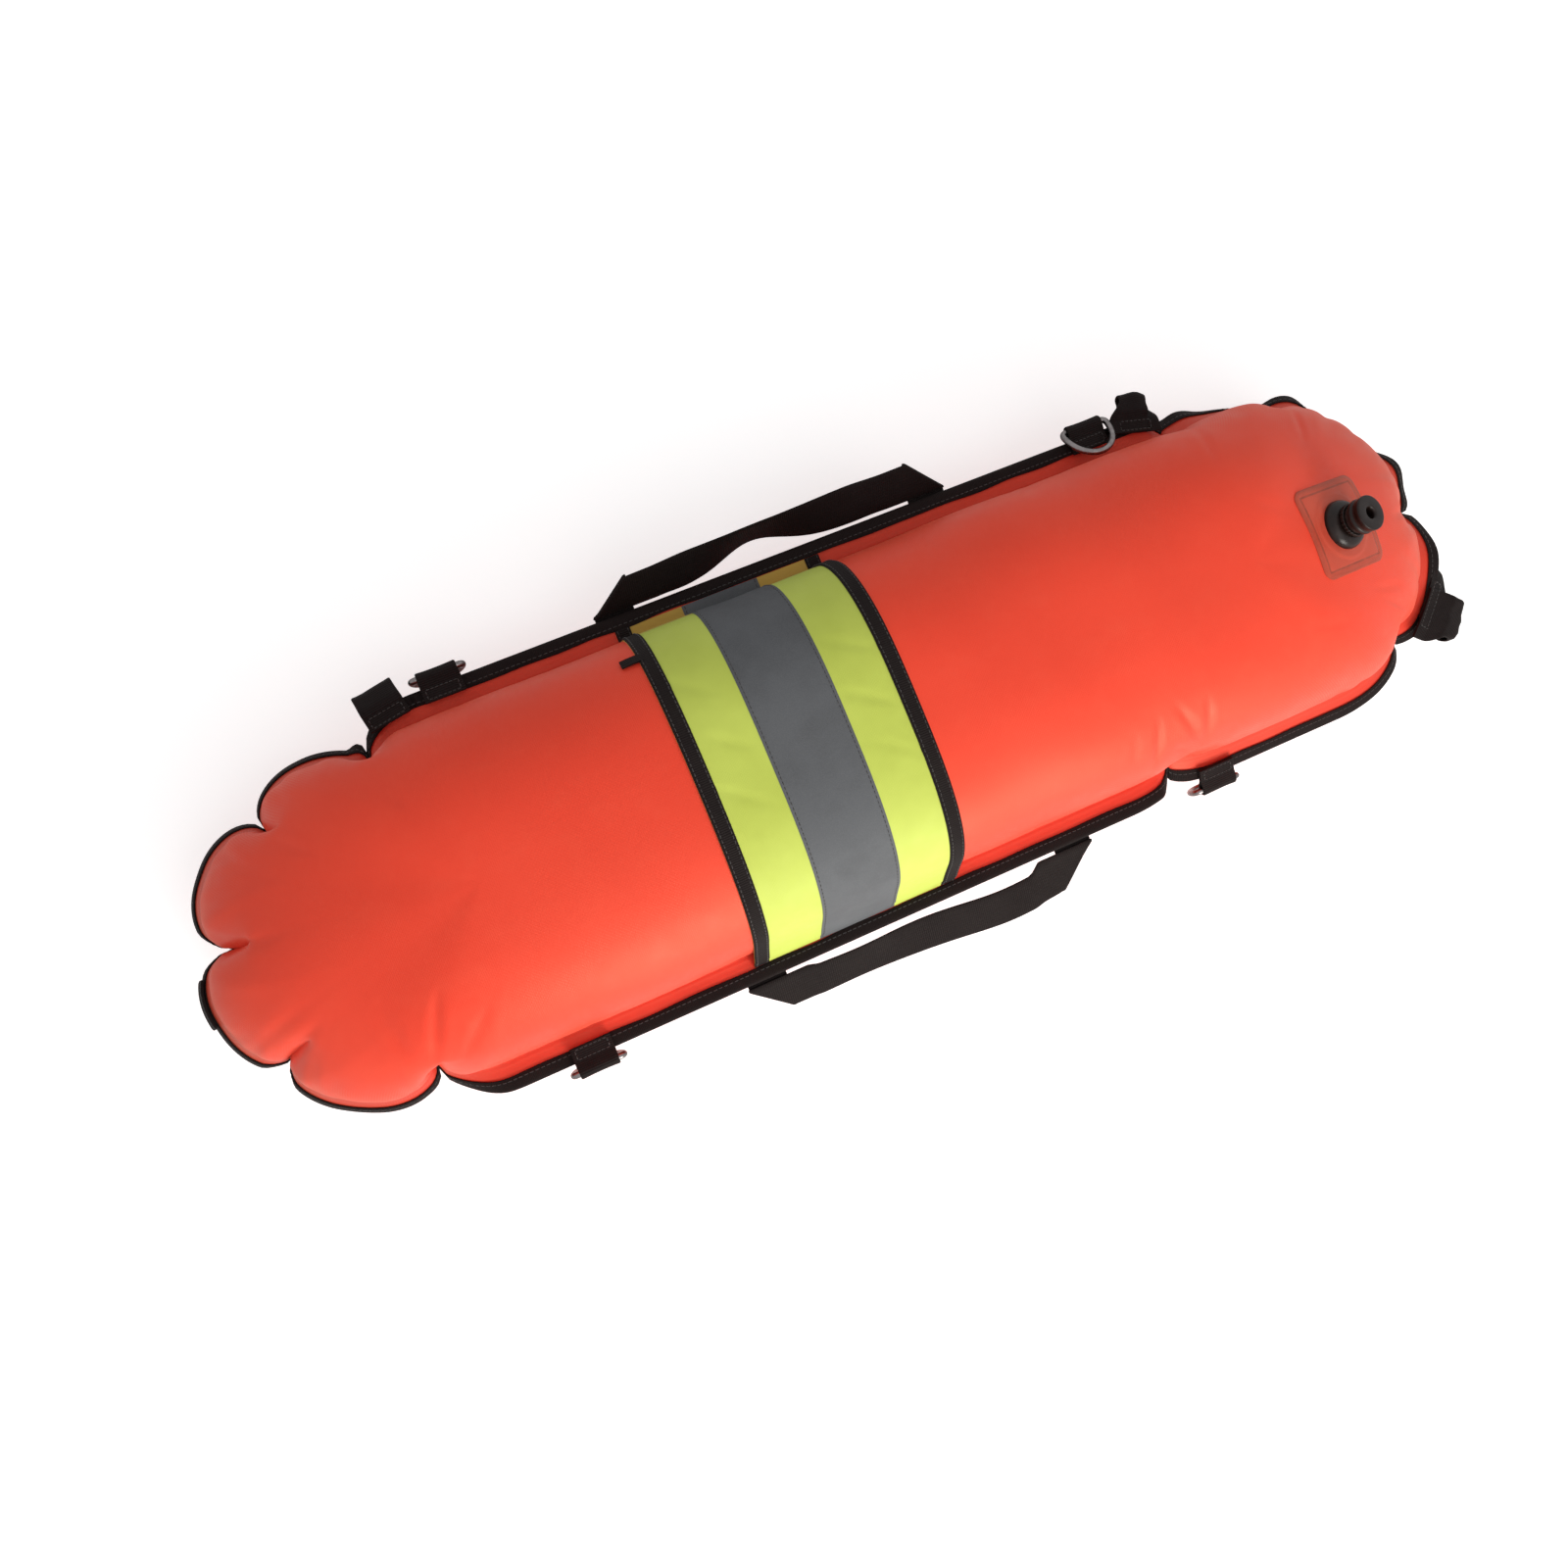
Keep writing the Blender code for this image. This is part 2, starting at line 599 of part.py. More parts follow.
def ring_curve(name, place):
    """A D ring: a straight bar at the origin along x and a round bow towards -z."""
    half = (RING_INSIDE + RING_WIRE) / 2
    corner = RING_WIRE * 0.65
    drop = RING_HEIGHT
    bow = [(half * math.cos(a), -corner - (drop - corner) * math.sin(a))
           for a in (math.pi * i / 12 for i in range(13))]
    path = [(-half + corner, 0.0), (0.0, 0.0), (half - corner, 0.0), (half - 0.3 * corner, -0.3 * corner)]
    path += bow
    path += [(-half + 0.3 * corner, -0.3 * corner)]
    curve = bpy.data.curves.new(name, "CURVE")
    curve.dimensions = "3D"
    curve.bevel_depth = RING_WIRE / 2
    curve.bevel_resolution = 2
    spline = curve.splines.new("POLY")
    spline.points.add(len(path) - 1)
    for point, (x, z) in zip(spline.points, path):
        point.co = (x, 0.0, z, 1.0)
    spline.use_cyclic_u = True
    curve.materials.append(material("stainless_steel"))
    made = bpy.data.objects.new(name, curve)
    bpy.context.scene.collection.objects.link(made)
    made.matrix_world = place
    return made


def ring_station(x, side):
    """The middle of a D ring's bar, in the keeper's eye, and the keeper's reach and opening."""
    opening = RING_WIRE + 2 * RING_FIT
    reach = 2 * RING_WIRE + WEBBING
    eye = reach - opening / 2 - WEBBING
    place = rim_place(rim_of_side(x, side), 0.0, STRAP_LIFT)
    return place @ Vector((0.0, eye, WEBBING)), reach, opening


def add_rings():
    for name, end, setback, side in RING_STATIONS:
        x = from_end(end, setback)
        bar, reach, opening = ring_station(x, side)
        add_webbing_loop("ring_keeper_" + name, rim_of_side(x, side), KEEPER_WIDTH, reach, opening)
        leaning = 90.0 + RING_LEAN if name == "far_right" else 0.0
        turn = Matrix.Rotation(math.radians(-side * leaning), 4, "X")
        ring_curve("d_ring_" + name, Matrix.Translation(bar) @ turn)


def handle_hinge(side):
    """Where a handle bends at the binding: distance from the middle plane, and height."""
    y = side * (HALF_WIDTH + RIM_WIDTH + WEBBING / 2 + GAP)
    return y, SEAM_Z - STRAP_LIFT - WEBBING / 2


def strap_section(centre, across, thickness, normal):
    """Four corners of a strap's section: its width vector runs across, its thickness along normal."""
    half = normal * (thickness / 2)
    return [centre - across / 2 - half, centre + across / 2 - half, centre + across / 2 + half,
            centre - across / 2 + half]


def handle_sections(side, slant, waist, sag):
    """Sections of a handle from its left bend to its right one, relative to the hinge line.

    slant gives the strap's twist in degrees at a share of the run, waist how far its middle stands
    out beyond the corners, sag how far the grip hangs below the hinge.
    """
    width = HANDLE_WEBBING
    out = np.array([0.0, side, 0.0])
    up = np.array([0.0, 0.0, 1.0])
    along = np.array([1.0, 0.0, 0.0])
    bend = HANDLE_HALF_SPAN
    corner = bend - width / 2
    leave = 0.0012
    middle = HANDLE_REACH - width / 2 * 0.8
    sections = []
    for way in (-1.0, 1.0):
        foot = [strap_section(along * way * bend + out * 0.0001, along * width * way, 0.0004, up),
                strap_section(along * way * bend + out * leave, along * width * way, WEBBING, up)]
        inner = along * way * (corner - 0.006) + out * 0.0035
        outer = along * way * (bend - 0.002) + out * (HANDLE_REACH - 0.003)
        fold = strap_section((inner + outer) / 2 - up * 0.0004, outer - inner, WEBBING, up)
        tail = strap_section(along * way * (corner - 0.011) + out * (HANDLE_REACH / 2 + 0.001) - up * 0.0008,
                             out * (HANDLE_REACH - 0.0045), WEBBING, up)
        sections.append(foot + [fold, tail])
    run = []
    steps = 9
    span = corner - 0.020
    for i in range(steps + 1):
        share = i / steps
        swell = math.sin(math.pi * share)
        twist = math.radians(slant(share))
        across = out * math.cos(twist) + up * math.sin(twist)
        normal = up * math.cos(twist) - out * math.sin(twist)
        centre = along * span * (2 * share - 1) + out * (middle + waist * swell) - up * sag * swell
        run.append(strap_section(centre, across * width * 0.86, WEBBING, normal))
    return sections[0] + run + sections[1][::-1]


def loft(sections):
    """A solid through matching sections, closed by its end faces."""
    count = len(sections[0])
    points = [p for section in sections for p in section]
    faces = []
    for i in range(len(sections) - 1):
        for k in range(count):
            m = (k + 1) % count
            faces.append((i * count + k, i * count + m, (i + 1) * count + m, (i + 1) * count + k))
    faces.append(tuple(range(count)))
    faces.append(tuple(range((len(sections) - 1) * count, len(sections) * count)))
    return points, faces


def add_handle(name, side, slant, waist, sag):
    y, z = handle_hinge(side)
    points, faces = loft(handle_sections(side, slant, waist, sag))
    place = Matrix.Translation((HANDLE_CENTRE_X, y, z))
    add_mesh(name, points, faces, "black_webbing", place, smooth_angle=50)
    for which, way in (("left", -1), ("right", 1)):
        length = ANCHOR_LENGTH
        edge = abs(y) - HINGE_CLEARANCE
        work = bmesh.new()
        bmesh.ops.create_cube(work, size=1.0)
        bmesh.ops.scale(work, vec=(HANDLE_WEBBING, length, WEBBING), verts=work.verts)
        points = [v.co.copy() for v in work.verts]
        faces = [tuple(v.index for v in f.verts) for f in work.faces]
        work.free()
        middle = Matrix.Translation((HANDLE_CENTRE_X + way * HANDLE_HALF_SPAN, side * (edge - length / 2), z))
        add_mesh(f"{name}_sewn_end_{which}", points, faces, "black_webbing", middle)


def add_handles():
    add_handle("near_handle", -1, lambda share: -34.0 + 10.0 * math.sin(2 * math.pi * share), 0.004, 0.0)
    add_handle("far_handle", 1, lambda share: 20.0 + 52.0 * math.sin(math.pi * share) ** 2, 0.001, 0.0)


def revolve(profile, steps=ROUND_STEPS, radius_at=None):
    """A solid turned about z from a closed profile of (radius, height), with optional ribs."""
    points = []
    for i in range(steps):
        turn = 2 * math.pi * i / steps
        for k, (radius, height) in enumerate(profile):
            reach = radius_at(k, i, radius) if radius_at else radius
            points.append((reach * math.cos(turn), reach * math.sin(turn), height))
    count = len(profile)
    faces = []
    for i in range(steps):
        here, there = i * count, (i + 1) % steps * count
        for k in range(count):
            m = (k + 1) % count
            faces.append((here + k, there + k, there + m, here + m))
    return points, faces


class ValveSeat:
    """The valve's place on the top panel: its axis, and the panel's height under and round it."""

    def __init__(self, panel):
        mesh = panel.data
        corners = [v.co.copy() for v in mesh.vertices]
        self.tree = BVHTree.FromPolygons(corners, [tuple(p.vertices) for p in mesh.polygons])
        down = Vector((0.0, 0.0, -1.0))
        probe = PATCH_SIDE / 3
        around = [self.hit(Vector((VALVE_X + dx, dy, 1.0)), down)
                  for dx, dy in ((probe, 0.0), (0.0, probe), (-probe, 0.0), (0.0, -probe))]
        self.axis = (around[0] - around[2]).cross(around[1] - around[3]).normalized()
        self.origin = self.hit(Vector((VALVE_X, 0.0, 1.0)), down)
        side = Vector((0.0, 1.0, 0.0)).cross(self.axis).normalized()
        basis = Matrix((side, self.axis.cross(side), self.axis)).transposed().to_4x4()
        self.place = Matrix.Translation(self.origin) @ basis

    def hit(self, start, direction):
        return self.tree.ray_cast(start, direction)[0]

    def height(self, x, y):
        """The panel's outer face over the plane through the valve's seat, at x and y on it."""
        start = self.place @ Vector((x, y, 0.05))
        found = self.hit(start, -self.axis)
        return (self.place.inverted() @ found).z

    def crest(self, radius):
        """The highest point of the panel on a circle round the axis."""
        turns = (2 * math.pi * i / ROUND_STEPS for i in range(ROUND_STEPS))
        return max(self.height(radius * math.cos(t), radius * math.sin(t)) for t in turns)


def square_ring(share, sides=6):
    """Points of a rounded square, shrunk towards a circle of the tube's clearance at share 0."""
    half = PATCH_SIDE / 2 - PATCH_CORNER
    inner = VALVE_TUBE_RADIUS + GAP
    ring = []
    for quarter in range(4):
        for i in range(sides):
            turn = math.pi / 2 * (quarter + i / sides) - math.pi / 4
            straight = Vector((math.cos(turn), math.sin(turn))) * (PATCH_SIDE / 2)
            straight /= max(abs(math.cos(turn)), abs(math.sin(turn)))
            core = Vector([max(-half, min(half, c)) for c in straight])
            corner = straight - core
            outline = core + (corner.normalized() * PATCH_CORNER if corner.length > 1e-9 else corner)
            circle = Vector((math.cos(turn), math.sin(turn))) * inner
            ring.append(circle.lerp(outline, share))
    return ring


def draped_ring_sheet(seat, rings, low, high):
    """A sheet with a hole, laid on the panel through rings of points, between two heights off it."""
    count = len(rings[0])
    levels = []
    for offset in (low, high):
        levels.append([[(p.x, p.y, seat.height(p.x, p.y) + offset) for p in ring] for ring in rings])
    points = [p for level in levels for ring in level for p in ring]
    layer = len(rings) * count
    faces = []
    for r in range(len(rings) - 1):
        for k in range(count):
            m = (k + 1) % count
            a, b, c, d = r * count + k, r * count + m, (r + 1) * count + m, (r + 1) * count + k
            faces += [(a, b, c, d), (a + layer, d + layer, c + layer, b + layer)]
    for r in (0, len(rings) - 1):
        for k in range(count):
            m = (k + 1) % count
            a, b = r * count + k, r * count + m
            faces.append((a, b, b + layer, a + layer))
    return points, faces


def cut_hole(target, seat, radius, name):
    """A round hole through a sheet along the valve's axis."""
    depth = 0.012
    points, faces = revolve(((0.0, -depth), (radius, -depth), (radius, depth), (0.0, depth)))
    cutter = add_mesh(name, points, faces, "black_plastic", seat.place)
    cutter.hide_render = True
    cutter.display_type = "WIRE"
    cut = target.modifiers.new("valve_hole", "BOOLEAN")
    cut.operation = "DIFFERENCE"
    cut.solver = "EXACT"
    cut.object = cutter


def circle_ring(radius):
    turns = (2 * math.pi * i / ROUND_STEPS for i in range(ROUND_STEPS))
    return [Vector((radius * math.cos(t), radius * math.sin(t))) for t in turns]


def add_valve(panel):
    seat = ValveSeat(panel)
    clear = VALVE_TUBE_RADIUS + GAP
    cut_hole(panel, seat, clear, "valve_hole_cutter")

    rings = [square_ring(share) for share in (0.0, 0.25, 0.5, 0.75, 1.0)]
    lift = GAP * 1.5
    add_mesh("valve_patch", *draped_ring_sheet(seat, rings, lift, lift + PATCH_CLOTH), "patch_fabric",
             seat.place, smooth_angle=40)

    flange_top = -FABRIC - 2 * GAP
    rings = [circle_ring(clear + (FLANGE_RADIUS - clear) * share) for share in (0.0, 0.33, 0.67, 1.0)]
    add_mesh("valve_flange", *draped_ring_sheet(seat, rings, flange_top - FLANGE_CLOTH, flange_top),
             "patch_fabric", seat.place, smooth_angle=40)

    body_top = lift + PATCH_CLOTH + GAP
    foot = VALVE_TUBE_RADIUS
    skirt = seat.crest(DOME_RADIUS) + body_top
    dome = [(DOME_RADIUS * math.cos(a) + NECK_RADIUS * (1 - math.cos(a)),
             skirt + 0.0012 + (DOME_HEIGHT - skirt - 0.0012) * math.sin(a))
            for a in (math.radians(t) for t in (0, 22, 45, 68, 90))]
    profile = [(foot, -VALVE_TUBE_DEPTH), (foot, seat.crest(foot) + body_top),
               ((foot + DOME_RADIUS) / 2, seat.crest((foot + DOME_RADIUS) / 2) + body_top),
               (DOME_RADIUS, skirt), *dome, (NECK_RADIUS, NECK_HEIGHT - 0.0006),
               (NECK_RADIUS - 0.0006, NECK_HEIGHT), (NECK_BORE_RADIUS, NECK_HEIGHT),
               (NECK_BORE_RADIUS, SPRING_LEDGE), (VALVE_BORE_RADIUS, SPRING_LEDGE),
               (VALVE_BORE_RADIUS, -VALVE_TUBE_DEPTH)]
    add_mesh("valve_body", *revolve(profile), "black_plastic", seat.place, smooth_angle=35)

    low, high = DOME_HEIGHT + GAP, DOME_HEIGHT + GAP + LOCK_RING_HEIGHT
    inner, outer = NECK_RADIUS + GAP, LOCK_RING_RADIUS
    chamfer = 0.0005
    profile = ((inner, low), (outer - chamfer, low), (outer, low + chamfer), (outer, high - chamfer),
               (outer - chamfer, high), (inner, high))
    ribbed = revolve(profile, 2 * LOCK_RING_RIBS,
                     lambda k, i, radius: radius - 0.0006 * (i % 2) if 1 <= k <= 4 else radius)
    add_mesh("lock_ring", *ribbed, "black_plastic", seat.place, smooth_angle=35)

    add_mouthpiece(seat)
    add_spring(seat)


def add_mouthpiece(seat):
    """The mouthpiece that is pushed in to blow, with its stem, the poppet at its foot and the seal."""
    top, outer = MOUTHPIECE_TOP, MOUTHPIECE_RADIUS
    inner = outer - MOUTHPIECE_WALL
    skirt = DOME_HEIGHT + GAP + LOCK_RING_HEIGHT + MOUTHPIECE_TRAVEL + GAP
    roof = top - MOUTHPIECE_ROOF
    seat_level = -VALVE_TUBE_DEPTH
    stem_end = seat_level - GAP
    lip = 0.0012
    profile = ((inner, skirt), (outer - lip / 2, skirt), (outer, skirt + lip / 2), (outer, top - lip),
               (outer - lip * 0.3, top - lip * 0.3), (outer - lip, top), (MOUTHPIECE_BORE + lip, top),
               (MOUTHPIECE_BORE, top - lip), (MOUTHPIECE_BORE, stem_end), (STEM_RADIUS, stem_end),
               (STEM_RADIUS, roof), (inner, roof))
    mouthpiece = add_mesh("mouthpiece", *revolve(profile), "black_plastic", seat.place, smooth_angle=35)
    vent = add_vent_cutter(seat, stem_end)
    cut = mouthpiece.modifiers.new("side_vents", "BOOLEAN")
    cut.operation = "DIFFERENCE"
    cut.solver = "EXACT"
    cut.object = vent

    groove = (VALVE_TUBE_RADIUS + VALVE_BORE_RADIUS) / 2
    face = seat_level - 2 * GAP
    bottom = face - POPPET_THICKNESS
    seal = SEAL_WIRE / 2 + GAP
    profile = ((0.0, bottom), (POPPET_RADIUS - 0.001, bottom), (POPPET_RADIUS, bottom + 0.001),
               (POPPET_RADIUS, face - 0.0003), (POPPET_RADIUS - 0.0003, face), (groove + seal, face),
               (groove + seal, face - 2 * seal), (groove - seal, face - 2 * seal), (groove - seal, face),
               (0.0, face))
    add_mesh("poppet", *revolve(profile), "black_plastic", seat.place, smooth_angle=35)
    wire = [(groove + SEAL_WIRE / 2 * math.cos(a), face - seal + SEAL_WIRE / 2 * math.sin(a))
            for a in (math.pi * i / 3 for i in range(6))]
    add_mesh("poppet_seal", *revolve(wire), "black_rubber", seat.place, smooth_angle=60)


def add_vent_cutter(seat, stem_end):
    """A bar that cuts two side vents through the foot of the stem."""
    height = 0.003
    work = bmesh.new()
    bmesh.ops.create_cube(work, size=1.0)
    bmesh.ops.scale(work, vec=(4 * STEM_RADIUS, 0.0028, height), verts=work.verts)
    points = [v.co.copy() for v in work.verts]
    faces = [tuple(v.index for v in f.verts) for f in work.faces]
    work.free()
    place = seat.place @ Matrix.Translation((0.0, 0.0, stem_end + height))
    cutter = add_mesh("stem_vent_cutter", points, faces, "black_plastic", place)
    cutter.hide_render = True
    cutter.display_type = "WIRE"
    return cutter


def add_spring(seat):
    """The return spring between the body's ledge and the mouthpiece."""
    low = SPRING_LEDGE + SPRING_WIRE / 2 + GAP
    high = MOUTHPIECE_TOP - MOUTHPIECE_ROOF - SPRING_WIRE / 2 - GAP
    curve = bpy.data.curves.new("valve_spring", "CURVE")
    curve.dimensions = "3D"
    curve.bevel_depth = SPRING_WIRE / 2
    curve.bevel_resolution = 1
    curve.use_fill_caps = True
    spline = curve.splines.new("POLY")
    steps = SPRING_TURNS * 12
    spline.points.add(steps)
    for i, point in enumerate(spline.points):
        turn = 2 * math.pi * SPRING_TURNS * i / steps
        point.co = (SPRING_RADIUS * math.cos(turn), SPRING_RADIUS * math.sin(turn), low + (high - low) * i / steps, 1)
    curve.materials.append(material("stainless_steel"))
    made = bpy.data.objects.new("valve_spring", curve)
    bpy.context.scene.collection.objects.link(made)
    made.matrix_world = seat.place


def add_trim_tail(columns):
    """The folded tail of the left trim, which sticks out on the bag beside the band."""
    grid, _ = panel_grid(columns, 1)
    column = next(i for i, (run, x) in enumerate(columns) if run < SIDE_RUN and abs(x - BAND_LEFT) < 1e-6)
    heights = grid[:, column, 1]
    row = next(r for r in range(3, len(heights) - 1) if heights[r] > TAIL_Y >= heights[r + 1])
    share = (heights[row] - TAIL_Y) / (heights[row] - heights[row + 1])
    point = grid[row, column] * (1 - share) + grid[row + 1, column] * share
    across = grid[row, column] - grid[row + 1, column]
    across /= np.linalg.norm(across)
    normal = np.cross(across, (-1.0, 0.0, 0.0))
    normal *= math.copysign(1.0, normal[2])
    centre = point + normal * (FABRIC + GAP + TRIM_TAPE / 2 + GAP) - np.array([TAIL_LENGTH / 2 + GAP, 0.0, 0.0])
    basis = Matrix(((-1.0, 0.0, 0.0), across, normal)).transposed().to_4x4()
    work = bmesh.new()
    bmesh.ops.create_cube(work, size=1.0)
    bmesh.ops.scale(work, vec=(TAIL_LENGTH, TAIL_WIDTH, TRIM_TAPE), verts=work.verts)
    points = [v.co.copy() for v in work.verts]
    faces = [tuple(v.index for v in f.verts) for f in work.faces]
    work.free()
    add_mesh("trim_tail", points, faces, "black_webbing", Matrix.Translation(centre) @ basis)


def main():
    clear_scene()
    columns = rim_columns()
    panel = add_panel("upper_panel", 1, columns)
    add_panel("lower_panel", -1, columns)
    add_binding(columns)
    add_band(columns)
    add_trim_tail(columns)
    add_rings()
    for name, end, setback, turn, width in LINE_LOOPS:
        add_webbing_loop(name, rim_of_side(from_end(end, setback), 1), width, LINE_LOOP_REACH,
                         LINE_LOOP_OPENING, LINE_LOOP_SLOT, turn)
    add_webbing_loop("tow_loop", rim_of_end(TOW_LOOP_ANGLE, 1), TOW_LOOP_WIDTH, TOW_LOOP_REACH,
                     TOW_LOOP_OPENING, TOW_LOOP_SLOT)
    add_end_tab(columns)
    add_handles()
    add_valve(panel)


main()
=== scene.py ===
"""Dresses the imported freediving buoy: coated cloth, bindings, webbing, rings and the mouth valve.

Every shape is built from the bag's own outline, so that cloth, bindings and straps lie on each other.
Lengths are in metres and +Z is up.
"""

import logging
import math
from collections.abc import Callable, Sequence
from dataclasses import dataclass, field
from enum import Enum

import bmesh
import bpy
import numpy as np
from mathutils import Matrix, Vector
from mathutils.bvhtree import BVHTree
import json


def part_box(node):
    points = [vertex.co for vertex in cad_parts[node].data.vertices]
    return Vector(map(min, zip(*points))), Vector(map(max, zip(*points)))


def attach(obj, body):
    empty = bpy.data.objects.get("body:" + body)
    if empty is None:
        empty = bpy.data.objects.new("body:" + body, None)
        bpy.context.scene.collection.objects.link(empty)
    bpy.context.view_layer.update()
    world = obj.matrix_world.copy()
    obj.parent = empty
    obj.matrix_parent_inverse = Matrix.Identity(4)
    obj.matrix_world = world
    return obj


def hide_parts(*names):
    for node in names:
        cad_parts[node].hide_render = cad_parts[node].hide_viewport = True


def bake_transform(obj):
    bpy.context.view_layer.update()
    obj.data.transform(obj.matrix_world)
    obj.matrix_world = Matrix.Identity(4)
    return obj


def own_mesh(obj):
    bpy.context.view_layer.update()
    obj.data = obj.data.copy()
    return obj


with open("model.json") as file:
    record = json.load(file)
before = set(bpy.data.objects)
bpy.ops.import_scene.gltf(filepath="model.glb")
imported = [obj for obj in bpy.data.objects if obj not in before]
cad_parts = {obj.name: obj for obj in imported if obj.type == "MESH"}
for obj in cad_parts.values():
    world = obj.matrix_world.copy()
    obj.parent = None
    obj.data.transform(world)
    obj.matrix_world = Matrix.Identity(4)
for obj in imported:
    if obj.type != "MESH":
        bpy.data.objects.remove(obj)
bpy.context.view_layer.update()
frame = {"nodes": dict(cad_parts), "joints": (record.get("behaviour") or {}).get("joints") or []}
LOG = logging.getLogger("freediving_buoy")

Colour = tuple[float, float, float]
Place = tuple[float, float, float]
Rows = tuple[tuple[float, ...], ...]

MM = 0.001
# The least gap between two pieces that lie on each other
GAP = 0.0003
CUT_MAP = "cut"
# Corners nearer than this are one corner, and edges shorter than this are taken out
SAME_PLACE = 2e-6
SLIVER = 1e-7
WHITE = (1.0, 1.0, 1.0, 1.0)


class Side(Enum):
    """The two long sides of the bag."""

    FAR = 1
    NEAR = -1


class Weave(Enum):
    """How a cloth's threads show on its face."""

    PLAIN = "plain"
    RIBBED = "ribbed"


def smooth_share(value: np.ndarray | float) -> np.ndarray:
    """Eases a share from 0 to 1 with level ends.

    Args:
        value: The share before easing, of any size.

    Returns:
        The eased share, kept from 0 to 1.
    """
    share = np.clip(value, 0.0, 1.0)
    return share * share * (3 - 2 * share)


def unit(vectors: np.ndarray) -> np.ndarray:
    """Scales vectors to a length of one.

    Args:
        vectors: Vectors along the last axis.

    Returns:
        The same directions with a length of one.
    """
    return vectors / np.maximum(np.linalg.norm(vectors, axis=-1, keepdims=True), 1e-12)


def bell(off: np.ndarray | float, spread: np.ndarray | float) -> np.ndarray:
    """Gives a soft bump that is 1 where off is 0 and fades over its spread."""
    return np.exp(-((off / spread) ** 2))


def add_object(name: str, data: bpy.types.ID) -> bpy.types.Object:
    """Adds an object to the scene."""
    made = bpy.data.objects.new(name, data)
    bpy.context.scene.collection.objects.link(made)
    return made


class NodeGraph:
    """Adds and links the shader nodes of one material, or of the world."""

    def __init__(self, owner: bpy.types.Material | bpy.types.World, shader: str = "Principled BSDF") -> None:
        """Finds the shader that the nodes lead to.

        Args:
            owner: The material or the world.
            shader: The name of its shader.
        """
        owner.use_nodes = True
        self.tree = owner.node_tree
        self.shader = self.tree.nodes[shader]

    def fill(self, socket: bpy.types.NodeSocket, value: object) -> None:
        """Links a socket to another one, or sets its value."""
        if isinstance(value, bpy.types.NodeSocket):
            self.tree.links.new(value, socket)
        else:
            socket.default_value = value

    def add(self, kind: str, inputs: dict[str | int, object] | None = None,
            **settings: object) -> bpy.types.Node:
        """Adds a node, sets it up and links or fills its inputs.

        Args:
            kind: Blender's name for the node's type.
            inputs: A socket or a value for each named input.
            **settings: Attributes of the node.

        Returns:
            The new node.
        """
        node = self.tree.nodes.new(kind)
        for name, value in settings.items():
            setattr(node, name, value)
        for name, value in (inputs or {}).items():
            self.fill(node.inputs[name], value)
        return node

    def set(self, **values: object) -> None:
        """Fills or links the shader's inputs, named with underscores for spaces."""
        for name, value in values.items():
            self.fill(self.shader.inputs[name.replace("_", " ")], value)

    def place(self) -> bpy.types.NodeSocket:
        """Gives the point's place on the piece, in metres."""
        return self.add("ShaderNodeTexCoord").outputs["Object"]

    def cut_place(self) -> bpy.types.NodeSocket:
        """Gives the point's place on the flat cut of the cloth, in metres."""
        return self.add("ShaderNodeUVMap", uv_map=CUT_MAP).outputs["UV"]

    def noise(self, vector: bpy.types.NodeSocket, scale: float, detail: float = 3.0,
              rough: float = 0.55) -> bpy.types.NodeSocket:
        """Adds soft irregular variation.

        Args:
            vector: Where the variation is read.
            scale: Blotches to a metre.
            detail: Octaves of finer blotches.
            rough: How strong the finer ones are.

        Returns:
            A value round 0.5.
        """
        node = self.add("ShaderNodeTexNoise",
                        {"Vector": vector, "Scale": scale, "Detail": detail, "Roughness": rough})
        return node.outputs["Fac"]

    def calc(self, operation: str, first: object, second: object = 0.0) -> bpy.types.NodeSocket:
        """Adds one sum of two values."""
        return self.add("ShaderNodeMath", {0: first, 1: second}, operation=operation).outputs[0]

    def spread(self, value: bpy.types.NodeSocket, low: float, high: float, start: float = 0.3,
               stop: float = 0.7) -> bpy.types.NodeSocket:
        """Maps a value from between start and stop to between low and high."""
        node = self.add("ShaderNodeMapRange", {"Value": value, "From Min": start, "From Max": stop,
                                               "To Min": low, "To Max": high})
        return node.outputs["Result"]

    def mix(self, share: object, first: object, second: object) -> bpy.types.NodeSocket:
        """Mixes two colours.

        Args:
            share: How much of the second shows.
            first: A colour or a socket.
            second: A colour or a socket.

        Returns:
            The mixed colour.
        """
        first, second = ((*value, 1.0) if isinstance(value, tuple) else value for value in (first, second))
        node = self.add("ShaderNodeMix", {"Factor": share, 6: first, 7: second}, data_type="RGBA")
        return node.outputs[2]

    def weave(self, kind: Weave, pitch: float) -> bpy.types.NodeSocket:
        """Adds the height of the threads of a cloth.

        Args:
            kind: How the threads cross.
            pitch: The distance from one thread to the next.

        Returns:
            A height from 0 to 1.
        """
        vector = self.cut_place()
        turns = math.pi / pitch
        axes = self.add("ShaderNodeSeparateXYZ", {"Vector": vector}).outputs
        rows = [self.calc("ABSOLUTE", self.calc("SINE", self.calc("MULTIPLY", axes[k], turns)))
                for k in (0, 1)]
        if kind is Weave.RIBBED:
            return self.calc("MULTIPLY", rows[1], self.spread(rows[0], 0.65, 1.0, 0.0, 1.0))
        over = self.add("ShaderNodeTexChecker", {"Vector": vector, "Scale": 1 / pitch}).outputs["Fac"]
        node = self.add("ShaderNodeMix", {"Factor": over, 2: rows[0], 3: rows[1]}, data_type="FLOAT")
        return node.outputs[0]

